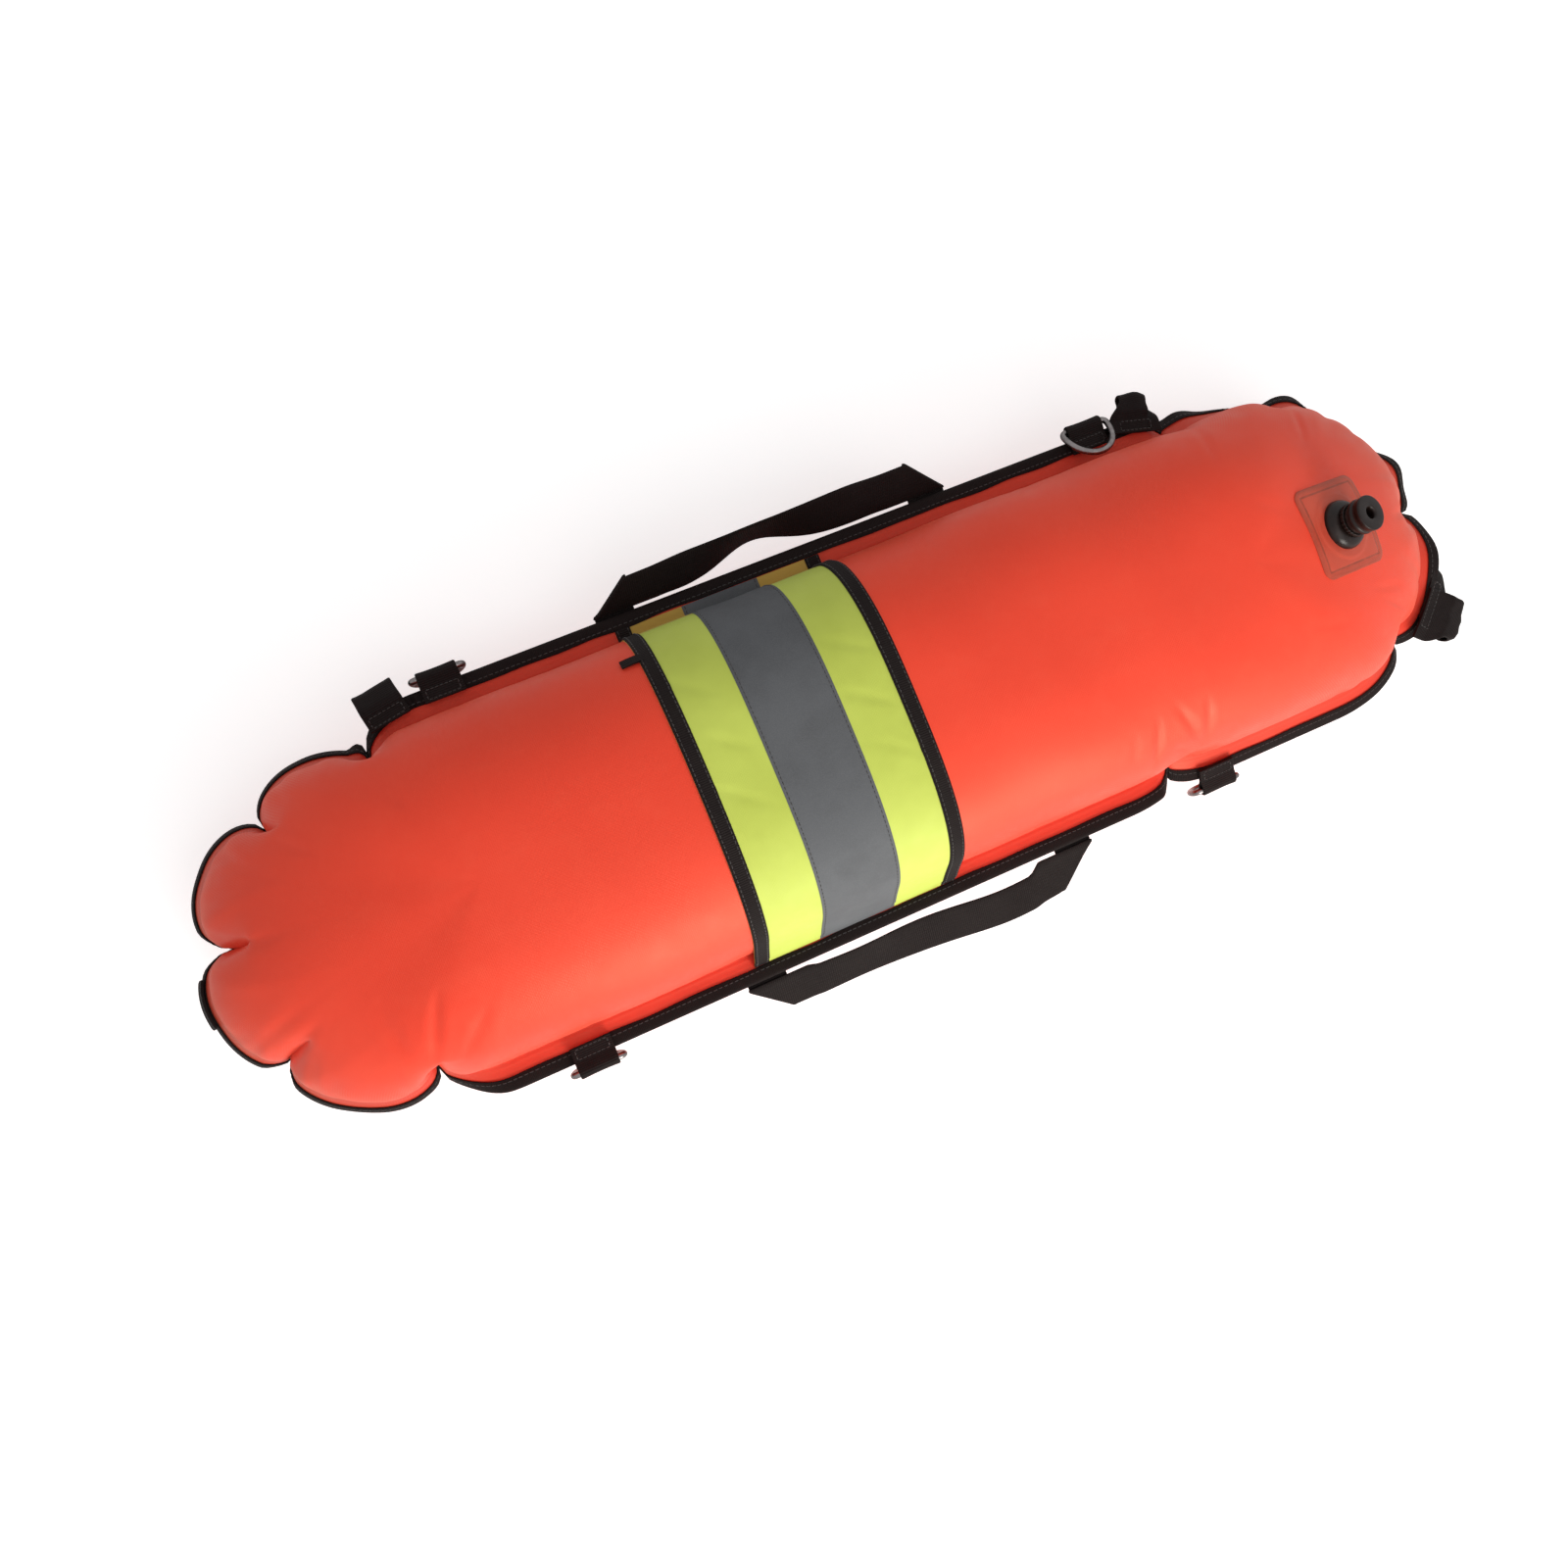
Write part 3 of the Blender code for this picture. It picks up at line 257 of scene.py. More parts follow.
    def bump(self, height: bpy.types.NodeSocket, distance: float, strength: float = 1.0,
             over: bpy.types.NodeSocket | None = None) -> bpy.types.NodeSocket:
        """Adds a bump, on top of another where one is given.

        Args:
            height: The height to show, from 0 to 1.
            distance: How far 1 stands out, in metres.
            strength: How much of it shows.
            over: The normal of the bump below.

        Returns:
            The changed normal.
        """
        inputs = {"Height": height, "Distance": distance, "Strength": strength}
        if over is not None:
            inputs["Normal"] = over
        return self.add("ShaderNodeBump", inputs).outputs["Normal"]


@dataclass(frozen=True)
class Finish:
    """A finish that is made once and then shared by its pieces."""

    name: str
    slot: str

    def material(self) -> bpy.types.Material:
        """Gives the finish's material, and makes it the first time."""
        found = bpy.data.materials.get(self.name)
        if found is None:
            found = bpy.data.materials.new(self.name)
            self.dress(NodeGraph(found))
        return found

    def dress(self, graph: NodeGraph) -> None:
        """Fills in the material's nodes."""
        raise NotImplementedError


@dataclass(frozen=True)
class CoatedCloth(Finish):
    """Heavy cloth with a smooth rubbery coating, slightly uneven in colour and gloss."""

    colour: Colour
    shade: Colour
    bloom: Colour
    pitch: float = 0.0011
    gloss: float = 0.44
    weave_depth: float = 0.00008
    sheen: float = 0.16
    sheen_tint: Colour = (1.0, 0.48, 0.26)
    shine: float = 0.45
    shine_tint: Colour = (1.0, 0.92, 0.62)
    # Painted shade along the weld, over the margin and both panels' edges: its colour, how much of it shows,
    # and the heights over which it comes and goes
    painted_weld_shade: Colour = (0.50, 0.020, 0.014)
    weld_shade_strength: float = 0.55
    weld_shade_top: tuple[float, float] = (0.0744, 0.0790)
    weld_shade_foot: tuple[float, float] = (0.052, 0.066)

    def dress(self, graph: NodeGraph) -> None:
        """Mixes blotches, chalky bloom, the weave that shows through and a painted shade along the weld."""
        place = graph.place()
        blotches = graph.noise(place, scale=10.0, detail=2.0)
        cloudy = graph.noise(place, scale=60.0, detail=4.0, rough=0.6)
        base = graph.mix(graph.spread(blotches, 0.0, 0.8, 0.35, 0.68), self.colour, self.shade)
        base = graph.mix(graph.spread(cloudy, 0.0, 0.16, 0.5, 0.8), base, self.bloom)
        threads = graph.weave(Weave.PLAIN, self.pitch)
        base = graph.mix(graph.spread(threads, 0.12, 0.0, 0.0, 0.55), base, self.shade)
        base = self.mark(graph, base)
        # Painted shade along the weld: a band by height over the margin and the edges of both panels
        height = graph.add("ShaderNodeSeparateXYZ", {"Vector": place}).outputs[2]
        painted_weld_shade = graph.calc("MULTIPLY", graph.spread(height, self.weld_shade_strength, 0.0, *self.weld_shade_top),
                             graph.spread(height, 0.0, 1.0, *self.weld_shade_foot))
        base = graph.mix(painted_weld_shade, base, self.painted_weld_shade)
        grain = graph.noise(place, scale=900.0, detail=3.0, rough=0.6)
        normal = graph.bump(cloudy, 0.3 * MM, 0.5)
        normal = graph.bump(threads, self.weave_depth, 0.8, normal)
        normal = graph.bump(grain, 0.05 * MM, 0.5, normal)
        graph.set(Base_Color=base, Normal=normal, Sheen_Weight=self.sheen, Sheen_Roughness=0.5,
                  Sheen_Tint=(*self.sheen_tint, 1.0), Specular_IOR_Level=self.shine,
                  Specular_Tint=(*self.shine_tint, 1.0),
                  Roughness=graph.spread(cloudy, self.gloss - 0.04, self.gloss + 0.07))

    def mark(self, graph: NodeGraph, base: bpy.types.NodeSocket) -> bpy.types.NodeSocket:
        """Adds what the making leaves on the cloth, which is nothing on a plain panel."""
        return base


@dataclass(frozen=True)
class WeldedCloth(CoatedCloth):
    """A welded patch, browned along the weld at its edge and scorched in a thin line inside it."""

    side: float = 0.058
    scorch: Colour = (0.16, 0.028, 0.018)
    edge_share: float = 0.50
    edge_band: tuple[float, float] = (0.0008, 0.0052)
    line_share: float = 0.75
    line_inset: float = 0.0047
    line_band: tuple[float, float] = (0.0002, 0.0009)

    def mark(self, graph: NodeGraph, base: bpy.types.NodeSocket) -> bpy.types.NodeSocket:
        """Darkens the welded edge and its inner line by the distance from the patch's sides."""
        axes = graph.add("ShaderNodeSeparateXYZ", {"Vector": graph.cut_place()}).outputs
        reach = graph.calc("MAXIMUM", graph.calc("ABSOLUTE", axes[0]), graph.calc("ABSOLUTE", axes[1]))
        inset = graph.calc("SUBTRACT", self.side / 2, reach)
        worn = graph.noise(graph.place(), scale=260.0, detail=3.0, rough=0.6)
        edge = graph.spread(inset, self.edge_share, 0.0, *self.edge_band)
        off = graph.calc("ABSOLUTE", graph.calc("SUBTRACT", inset, self.line_inset))
        line = graph.spread(off, self.line_share, 0.0, *self.line_band)
        base = graph.mix(graph.calc("MULTIPLY", edge, graph.spread(worn, 0.6, 1.0)), base, self.scorch)
        return graph.mix(graph.calc("MULTIPLY", line, graph.spread(worn, 0.5, 1.0)), base, self.scorch)


@dataclass(frozen=True)
class PrismCloth(Finish):
    """Fluorescent vinyl cloth of a high-visibility band."""

    colour: Colour
    deep: Colour
    # Painted ochre shade and the orange bag's painted reflection on the far hem, and the y over which they
    # come in
    painted_far_shade: Colour
    far_shade_band: tuple[float, float] = (0.0972, 0.0990)
    pitch: float = 0.0008
    shine: float = 0.3
    sheen: float = 0.06

    def dress(self, graph: NodeGraph) -> None:
        """Mixes the bright face with deeper blotches, a painted ochre shade with the orange bag's painted
        reflection on the far hem, and a fine weave.
        """
        place = graph.place()
        far = graph.add("ShaderNodeSeparateXYZ", {"Vector": place}).outputs[1]
        soft = graph.noise(place, scale=22.0, detail=3.0)
        fine = graph.noise(place, scale=160.0, detail=4.0, rough=0.6)
        threads = graph.weave(Weave.PLAIN, self.pitch)
        base = graph.mix(graph.spread(soft, 0.0, 0.55, 0.35, 0.7), self.colour, self.deep)
        base = graph.mix(graph.spread(threads, 0.22, 0.0, 0.0, 0.6), base, self.deep)
        # Paints the far hem's shade and orange reflection by y
        base = graph.mix(graph.spread(far, 0.0, 0.85, *self.far_shade_band), base, self.painted_far_shade)
        normal = graph.bump(fine, 0.3 * MM, 0.5)
        normal = graph.bump(threads, 0.1 * MM, 0.8, normal)
        graph.set(Base_Color=base, Normal=normal, Sheen_Weight=self.sheen, Sheen_Roughness=0.5,
                  Specular_IOR_Level=self.shine, Roughness=graph.spread(fine, 0.42, 0.56))


@dataclass(frozen=True)
class BeadTape(Finish):
    """Silver tape whose face is set with tiny glass beads."""

    colour: Colour
    worn: Colour
    bead: Colour = (0.22, 0.225, 0.235)
    beads_to_a_metre: float = 2300.0
    metal: float = 0.06
    shine: float = 0.08

    def dress(self, graph: NodeGraph) -> None:
        """Mixes the beads' sparkle, soft wear and fine scratches."""
        place = graph.place()
        beads = graph.add("ShaderNodeTexVoronoi",
                          {"Vector": place, "Scale": self.beads_to_a_metre}).outputs["Distance"]
        wear = graph.noise(place, scale=30.0, detail=5.0, rough=0.65)
        fine = graph.noise(place, scale=420.0, detail=3.0)
        base = graph.mix(graph.spread(wear, 0.0, 0.8, 0.42, 0.72), self.colour, self.worn)
        base = graph.mix(graph.spread(beads, 0.0, 0.22, 0.1, 0.7), base, self.bead)
        normal = graph.bump(beads, 0.06 * MM, 0.7)
        normal = graph.bump(fine, 0.1 * MM, 0.5, normal)
        graph.set(Base_Color=base, Normal=normal, Metallic=self.metal, Specular_IOR_Level=self.shine,
                  Roughness=graph.spread(wear, 0.55, 0.68))


@dataclass(frozen=True)
class WovenTape(Finish):
    """Black webbing with cross ribs, a lighter worn crown on each rib and a fine fuzz."""

    colour: Colour
    crown: Colour
    pitch: float = 0.0013
    depth: float = 0.00028
    crown_share: float = 0.62
    shine: float = 0.11
    sheen: float = 0.03

    def dress(self, graph: NodeGraph) -> None:
        """Lays the ribs, lightens their crowns and roughens the threads."""
        place = graph.place()
        ribs = graph.weave(Weave.RIBBED, self.pitch)
        fuzz = graph.noise(place, scale=1500.0, detail=3.0, rough=0.65)
        dust = graph.noise(place, scale=45.0, detail=4.0, rough=0.6)
        raised, dusty = graph.spread(ribs, 0.0, 1.0, 0.45, 1.0), graph.spread(dust, 0.0, 1.0)
        crowns = graph.calc("ADD", graph.calc("MULTIPLY", raised, self.crown_share),
                            graph.calc("MULTIPLY", dusty, 1 - self.crown_share))
        base = graph.mix(crowns, self.colour, self.crown)
        normal = graph.bump(ribs, self.depth, 0.9)
        normal = graph.bump(fuzz, 0.06 * MM, 0.6, normal)
        graph.set(Base_Color=base, Normal=normal, Sheen_Weight=self.sheen, Sheen_Roughness=0.4,
                  Specular_IOR_Level=self.shine, Roughness=graph.spread(fuzz, 0.58, 0.78))


@dataclass(frozen=True)
class MouldedPlastic(Finish):
    """Black moulded plastic with a satin skin and light handling marks."""

    colour: Colour
    scuff: Colour
    gloss: float = 0.28
    shine: float = 0.22

    def dress(self, graph: NodeGraph) -> None:
        """Mixes the moulded grain with soft scuffs."""
        place = graph.place()
        marks = graph.noise(place, scale=120.0, detail=5.0, rough=0.65)
        grain = graph.noise(place, scale=2600.0, detail=2.0)
        base = graph.mix(graph.spread(marks, 0.0, 0.7, 0.5, 0.78), self.colour, self.scuff)
        normal = graph.bump(grain, 0.03 * MM, 0.5)
        normal = graph.bump(marks, 0.12 * MM, 0.3, normal)
        graph.set(Base_Color=base, Normal=normal, Specular_IOR_Level=self.shine,
                  Roughness=graph.spread(marks, self.gloss - 0.05, self.gloss + 0.16))


@dataclass(frozen=True)
class RingSteel(Finish):
    """Stainless wire, drawn and tumbled, with fine scratches along and across it."""

    colour: Colour
    dull: Colour

    def dress(self, graph: NodeGraph) -> None:
        """Mixes the drawn lines with dull tumbling marks."""
        place = graph.place()
        drawn = graph.add("ShaderNodeMapping", {"Vector": graph.cut_place(), "Scale": (1400.0, 60.0, 1.0)})
        lines = graph.noise(drawn.outputs["Vector"], scale=1.0, detail=4.0, rough=0.6)
        marks = graph.noise(place, scale=260.0, detail=4.0, rough=0.6)
        base = graph.mix(graph.spread(marks, 0.0, 0.8, 0.4, 0.75), self.colour, self.dull)
        graph.set(Base_Color=base, Normal=graph.bump(lines, 0.03 * MM, 0.5), Metallic=1.0,
                  Roughness=graph.spread(marks, 0.18, 0.40))


@dataclass(frozen=True)
class SewingThread(Finish):
    """Twisted thread of a seam."""

    colour: Colour
    light: Colour

    def dress(self, graph: NodeGraph) -> None:
        """Lays the twist of the plies."""
        twist = graph.add("ShaderNodeTexWave", {"Vector": graph.place(), "Scale": 520.0, "Distortion": 1.5},
                          bands_direction="DIAGONAL").outputs["Fac"]
        base = graph.mix(graph.spread(twist, 0.0, 0.7, 0.2, 0.9), self.colour, self.light)
        graph.set(Base_Color=base, Normal=graph.bump(twist, 0.08 * MM, 0.7), Roughness=0.7,
                  Sheen_Weight=0.3)


ORANGE = CoatedCloth("orange_coated_cloth", "orange_fabric", (0.93, 0.055, 0.027), (0.86, 0.044, 0.021),
                     (0.95, 0.115, 0.060))
PATCH = WeldedCloth("patch_coated_cloth", "patch_fabric", (0.66, 0.070, 0.038), (0.52, 0.050, 0.030),
                    (0.74, 0.12, 0.07), gloss=0.42)
# The third colour is the far hem's painted ochre shade and orange reflection
LIME = PrismCloth("lime_prism_cloth", "lime_fabric", (0.63, 0.73, 0.12), (0.50, 0.58, 0.075),
                  (0.58, 0.30, 0.055))
SILVER = BeadTape("silver_bead_tape", "silver_tape", (0.112, 0.116, 0.124), (0.088, 0.090, 0.096))
WEBBING = WovenTape("black_woven_webbing", "black_webbing", (0.006, 0.003, 0.003), (0.017, 0.012, 0.011))
RIM_TAPE = WovenTape("black_rim_tape", "black_webbing", (0.005, 0.002, 0.002), (0.014, 0.008, 0.007),
                     pitch=0.0010, depth=0.0002)
PLASTIC = MouldedPlastic("valve_plastic", "black_plastic", (0.010, 0.005, 0.004), (0.035, 0.022, 0.020))
RUBBER = MouldedPlastic("seal_rubber", "black_rubber", (0.012, 0.012, 0.012), (0.03, 0.03, 0.03), gloss=0.62)
STEEL = RingSteel("ring_steel", "stainless_steel", (0.22, 0.20, 0.20), (0.11, 0.10, 0.10))
THREAD = SewingThread("black_thread", "black_webbing", (0.007, 0.004, 0.004), (0.028, 0.021, 0.019))


@dataclass
class Patch:
    """A grid of points on a surface, with its normals and its place on the flat cut."""

    points: np.ndarray
    normals: np.ndarray
    cut: np.ndarray
    closed: bool = False
    meets: bool = False

    def lifted(self, height: float | np.ndarray) -> np.ndarray:
        """Gives the grid's points moved along their normals."""
        height = np.asarray(height)
        return self.points + self.normals * (height[..., None] if height.ndim else height)

    def thinned(self, thickness: float, share: float = 0.4) -> np.ndarray:
        """Gives a thickness over the grid that is less along its first and last columns."""
        thick = np.full(self.points.shape[:2], thickness)
        thick[:, [0, -1]] *= share
        return thick

    def shell(self, name: str, low: float | np.ndarray, high: float | np.ndarray,
              finish: Finish) -> bpy.types.Object:
        """Makes a closed sheet between two heights off the grid.

        Args:
            name: The piece's name.
            low: Height of the under face.
            high: Height of the upper face.
            finish: What the sheet is made of.

        Returns:
            The new piece.
        """
        rows, count = self.points.shape[:2]
        points = np.concatenate([self.lifted(low).reshape(-1, 3), self.lifted(high).reshape(-1, 3)])
        top = rows * count
        edge = np.arange(count if self.closed else count - 1)
        after = (edge + 1) % count
        row = np.arange(rows - 1)[:, None] * count
        a, b, c, d = ((row + k).ravel() for k in (edge, after, count + after, count + edge))
        faces = [np.stack([a, d, c, b], 1), np.stack([a, b, c, d], 1) + top]
        last = (rows - 1) * count
        faces.append(np.stack([edge, after, after + top, edge + top], 1))
        if not self.meets:
            faces.append(np.stack([last + edge, last + edge + top, last + after + top, last + after], 1))
        if not self.closed:
            down = np.arange(rows - 1) * count
            for column, turn in ((0, 1), (count - 1, -1)):
                side = np.stack([down + column, down + column + top, down + count + column + top,
                                 down + count + column], 1)
                faces.append(side[:, ::turn])
        return make_mesh(name, points, np.concatenate(faces), finish,
                         np.concatenate([self.cut.reshape(-1, 2)] * 2))


def make_mesh(name: str, points: np.ndarray, faces: np.ndarray | Sequence[Sequence[int]], finish: Finish,
              cut: np.ndarray | None = None, place: Matrix | None = None,
              sharp: float = 50.0) -> bpy.types.Object:
    """Makes a closed smooth piece with its outward faces and its cut map.

    Args:
        name: The piece's name.
        points: Its corners.
        faces: Its faces as lists of corners.
        finish: What it is made of.
        cut: Place of each corner on the flat cut, in metres.
        place: Where the piece stands.
        sharp: The angle in degrees from which an edge stays sharp.

    Returns:
        The new piece.
    """
    mesh = bpy.data.meshes.new(name)
    mesh.from_pydata(np.asarray(points, float).tolist(), [], [list(map(int, f)) for f in faces])
    if cut is not None:
        layer = mesh.uv_layers.new(name=CUT_MAP)
        corners = np.zeros(len(mesh.loops), np.int32)
        mesh.loops.foreach_get("vertex_index", corners)
        layer.uv.foreach_set("vector", np.asarray(cut, np.float32)[corners].ravel())
    work = bmesh.new()
    work.from_mesh(mesh)
    bmesh.ops.remove_doubles(work, verts=work.verts, dist=SAME_PLACE)
    bmesh.ops.dissolve_degenerate(work, edges=work.edges, dist=SLIVER)
    bmesh.ops.recalc_face_normals(work, faces=work.faces)
    work.to_mesh(mesh)
    work.free()
    if place is not None:
        mesh.transform(place)
    mesh.shade_smooth()
    mesh.set_sharp_from_angle(angle=math.radians(sharp))
    mesh.materials.append(finish.material())
    made = add_object(name, mesh)
    return made


def grid_normals(points: np.ndarray, closed: bool) -> np.ndarray:
    """Works out the normals of a grid from its rows and columns.

    Args:
        points: The grid, as rows of columns.
        closed: Whether the last column meets the first.

    Returns:
        A normal for each point.
    """
    if closed:
        along = np.roll(points, -1, axis=1) - np.roll(points, 1, axis=1)
    else:
        along = np.gradient(points, axis=1)
    return unit(np.cross(np.gradient(points, axis=0), along))


def facing(normals: np.ndarray, way: float) -> np.ndarray:
    """Turns a grid's normals round where one of them is found to point the wrong way."""
    return -normals if way < 0 else normals


def lengths_down(points: np.ndarray) -> np.ndarray:
    """Gives the length run down a line, or down each column of a grid, from its first point."""
    steps = np.linalg.norm(np.diff(points, axis=0), axis=-1)
    return np.concatenate([np.zeros((1, *steps.shape[1:])), np.cumsum(steps, axis=0)])


def strap_patch(points: np.ndarray, across: np.ndarray) -> Patch:
    """Makes the grid of a strap.

    Args:
        points: Its points, down its length and across its width.
        across: The place of each column across the flat strap.

    Returns:
        The grid with its normals and its flat cut.
    """
    down = lengths_down(points)
    cut = np.stack([np.broadcast_to(across, down.shape), down], axis=-1)
    return Patch(points, grid_normals(points, False), cut)


def tube_faces(rings: int, sides: int) -> np.ndarray:
    """Lists the faces of rings of corners that follow each other and meet again."""
    i, k = np.meshgrid(np.arange(rings), np.arange(sides), indexing="ij")
    j, m = (i + 1) % rings, (k + 1) % sides
    faces = [i * sides + k, i * sides + m, j * sides + m, j * sides + k]
    return np.stack(faces, axis=-1).reshape(-1, 4)


def even_path(points: Sequence[Sequence[float]], step: float, passes: int = 0) -> np.ndarray:
    """Spaces points evenly along a line and rounds its corners.

    Args:
        points: The line's corners.
        step: The distance between the new points.
        passes: How often each point moves to between its neighbours.

    Returns:
        The new points.
    """
    line = np.asarray(points, float)
    run = lengths_down(line)
    at = np.linspace(0.0, run[-1], max(3, int(round(run[-1] / step)) + 1))
    even = np.stack([np.interp(at, run, line[:, k]) for k in range(line.shape[1])], axis=1)
    for _ in range(passes):
        even[1:-1] = (even[:-2] + 2 * even[1:-1] + even[2:]) / 4
    return even


def box_path(centre: Sequence[float], half_x: float, half_y: float, step: float) -> np.ndarray:
    """Gives the path of a box of stitches, from a corner round to it again.

    Args:
        centre: The box's middle.
        half_x: Half its size along x.
        half_y: Half its size along y.
        step: The distance between the path's points.

    Returns:
        The path's points.
    """
    corners = ((-1, -1), (1, -1), (1, 1), (-1, 1), (-1, -1))
    return even_path([np.array(centre) + (u * half_x, v * half_y, 0.0) for u, v in corners], step)


@dataclass(frozen=True)
class Seam:
    """A row of lock stitches."""

    pitch: float = 0.0034
    thread: float = 0.00055
    filled: float = 0.74
    sides: int = 6
    # The rings of a stitch: place along it, size and lift, in half lengths and half threads
    rings: tuple[Place, ...] = ((-1.0, 0.45, -0.5), (-0.8, 0.9, 0.1), (0.0, 1.0, 0.35), (0.8, 0.9, 0.1),
                                (1.0, 0.45, -0.5))

    def sew(self, name: str, line: np.ndarray, normals: np.ndarray, closed: bool = False) -> None:
        """Lays stitches along a line on the bag.

        Args:
            name: The piece's name.
            line: Points of the line.
            normals: The surface's normal at each of them.
            closed: Whether the line returns to its start.
        """
        if closed:
            line, normals = np.concatenate([line, line[:1]]), np.concatenate([normals, normals[:1]])
        run = lengths_down(line)
        count = max(1, int(run[-1] / self.pitch))
        at = (np.arange(count) + 0.5) * run[-1] / count

        def read(values: np.ndarray, places: np.ndarray) -> np.ndarray:
            """Reads the line's values at runs along it."""
            return np.stack([np.interp(places, run, values[:, k]) for k in range(3)], axis=1)

        centre, up = read(line, at), unit(read(normals, at))
        along = unit(read(line, at + self.pitch / 4) - read(line, at - self.pitch / 4))
        up = unit(up - along * (up * along).sum(1, keepdims=True))
        side = np.cross(along, up)
        half = self.pitch * self.filled / 2
        turns = np.arange(self.sides) * math.tau / self.sides
        template = np.array([(x * half, size * self.thread / 2 * math.cos(t),
                              (size * math.sin(t) + lift) * self.thread / 2)
                             for x, size, lift in self.rings for t in turns])
        basis = np.stack([along, side, up], axis=1)
        points = (centre[:, None] + np.einsum("pk,nkj->npj", template, basis)).reshape(-1, 3)
        corners = len(template)
        firsts = np.arange(count) * corners
        walls = tube_faces(len(self.rings), self.sides)[:-self.sides]
        faces = (walls[None] + firsts[:, None, None]).reshape(-1, 4).tolist()
        for first in firsts.tolist():
            faces += [list(range(first, first + self.sides)),
                      list(range(first + corners - self.sides, first + corners))]
        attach(make_mesh(name, points, faces, THREAD, sharp=80.0), "bag")


@dataclass(frozen=True)
class PinchFold:
    """A pinched fold in the rim: its run, its depth, and how the margin turns down in it."""

    run: float
    depth: float
    turn: float
    tilt: float


@dataclass(frozen=True)
class Crease:
    """A soft crease on the top panel, from one point in plan to another."""

    start: tuple[float, float]
    stop: tuple[float, float]
    depth: float
    width: float

    def relief(self, x: np.ndarray, y: np.ndarray) -> np.ndarray:
        """Gives the crease's height at points in plan, a valley between two soft lips."""
        line = np.array(self.stop) - np.array(self.start)
        length = float(np.hypot(*line))
        along = ((x - self.start[0]) * line[0] + (y - self.start[1]) * line[1]) / length
        off = ((x - self.start[0]) * line[1] - (y - self.start[1]) * line[0]) / length
        share = np.clip(along / length, 0.0, 1.0)
        beyond = np.where(along < 0, -along, np.maximum(along - length, 0.0))
        swell = 0.55 + 0.45 * np.sin(math.pi * (0.15 + 0.85 * share))
        across = np.hypot(off, beyond) / (self.width * swell)
        fade = np.sin(math.pi * np.clip(0.12 + 0.88 * share, 0.0, 1.0)) ** 0.7
        return -self.depth * fade * (1 - 0.9 * across**2) * np.exp(-(across**2) * 1.1)


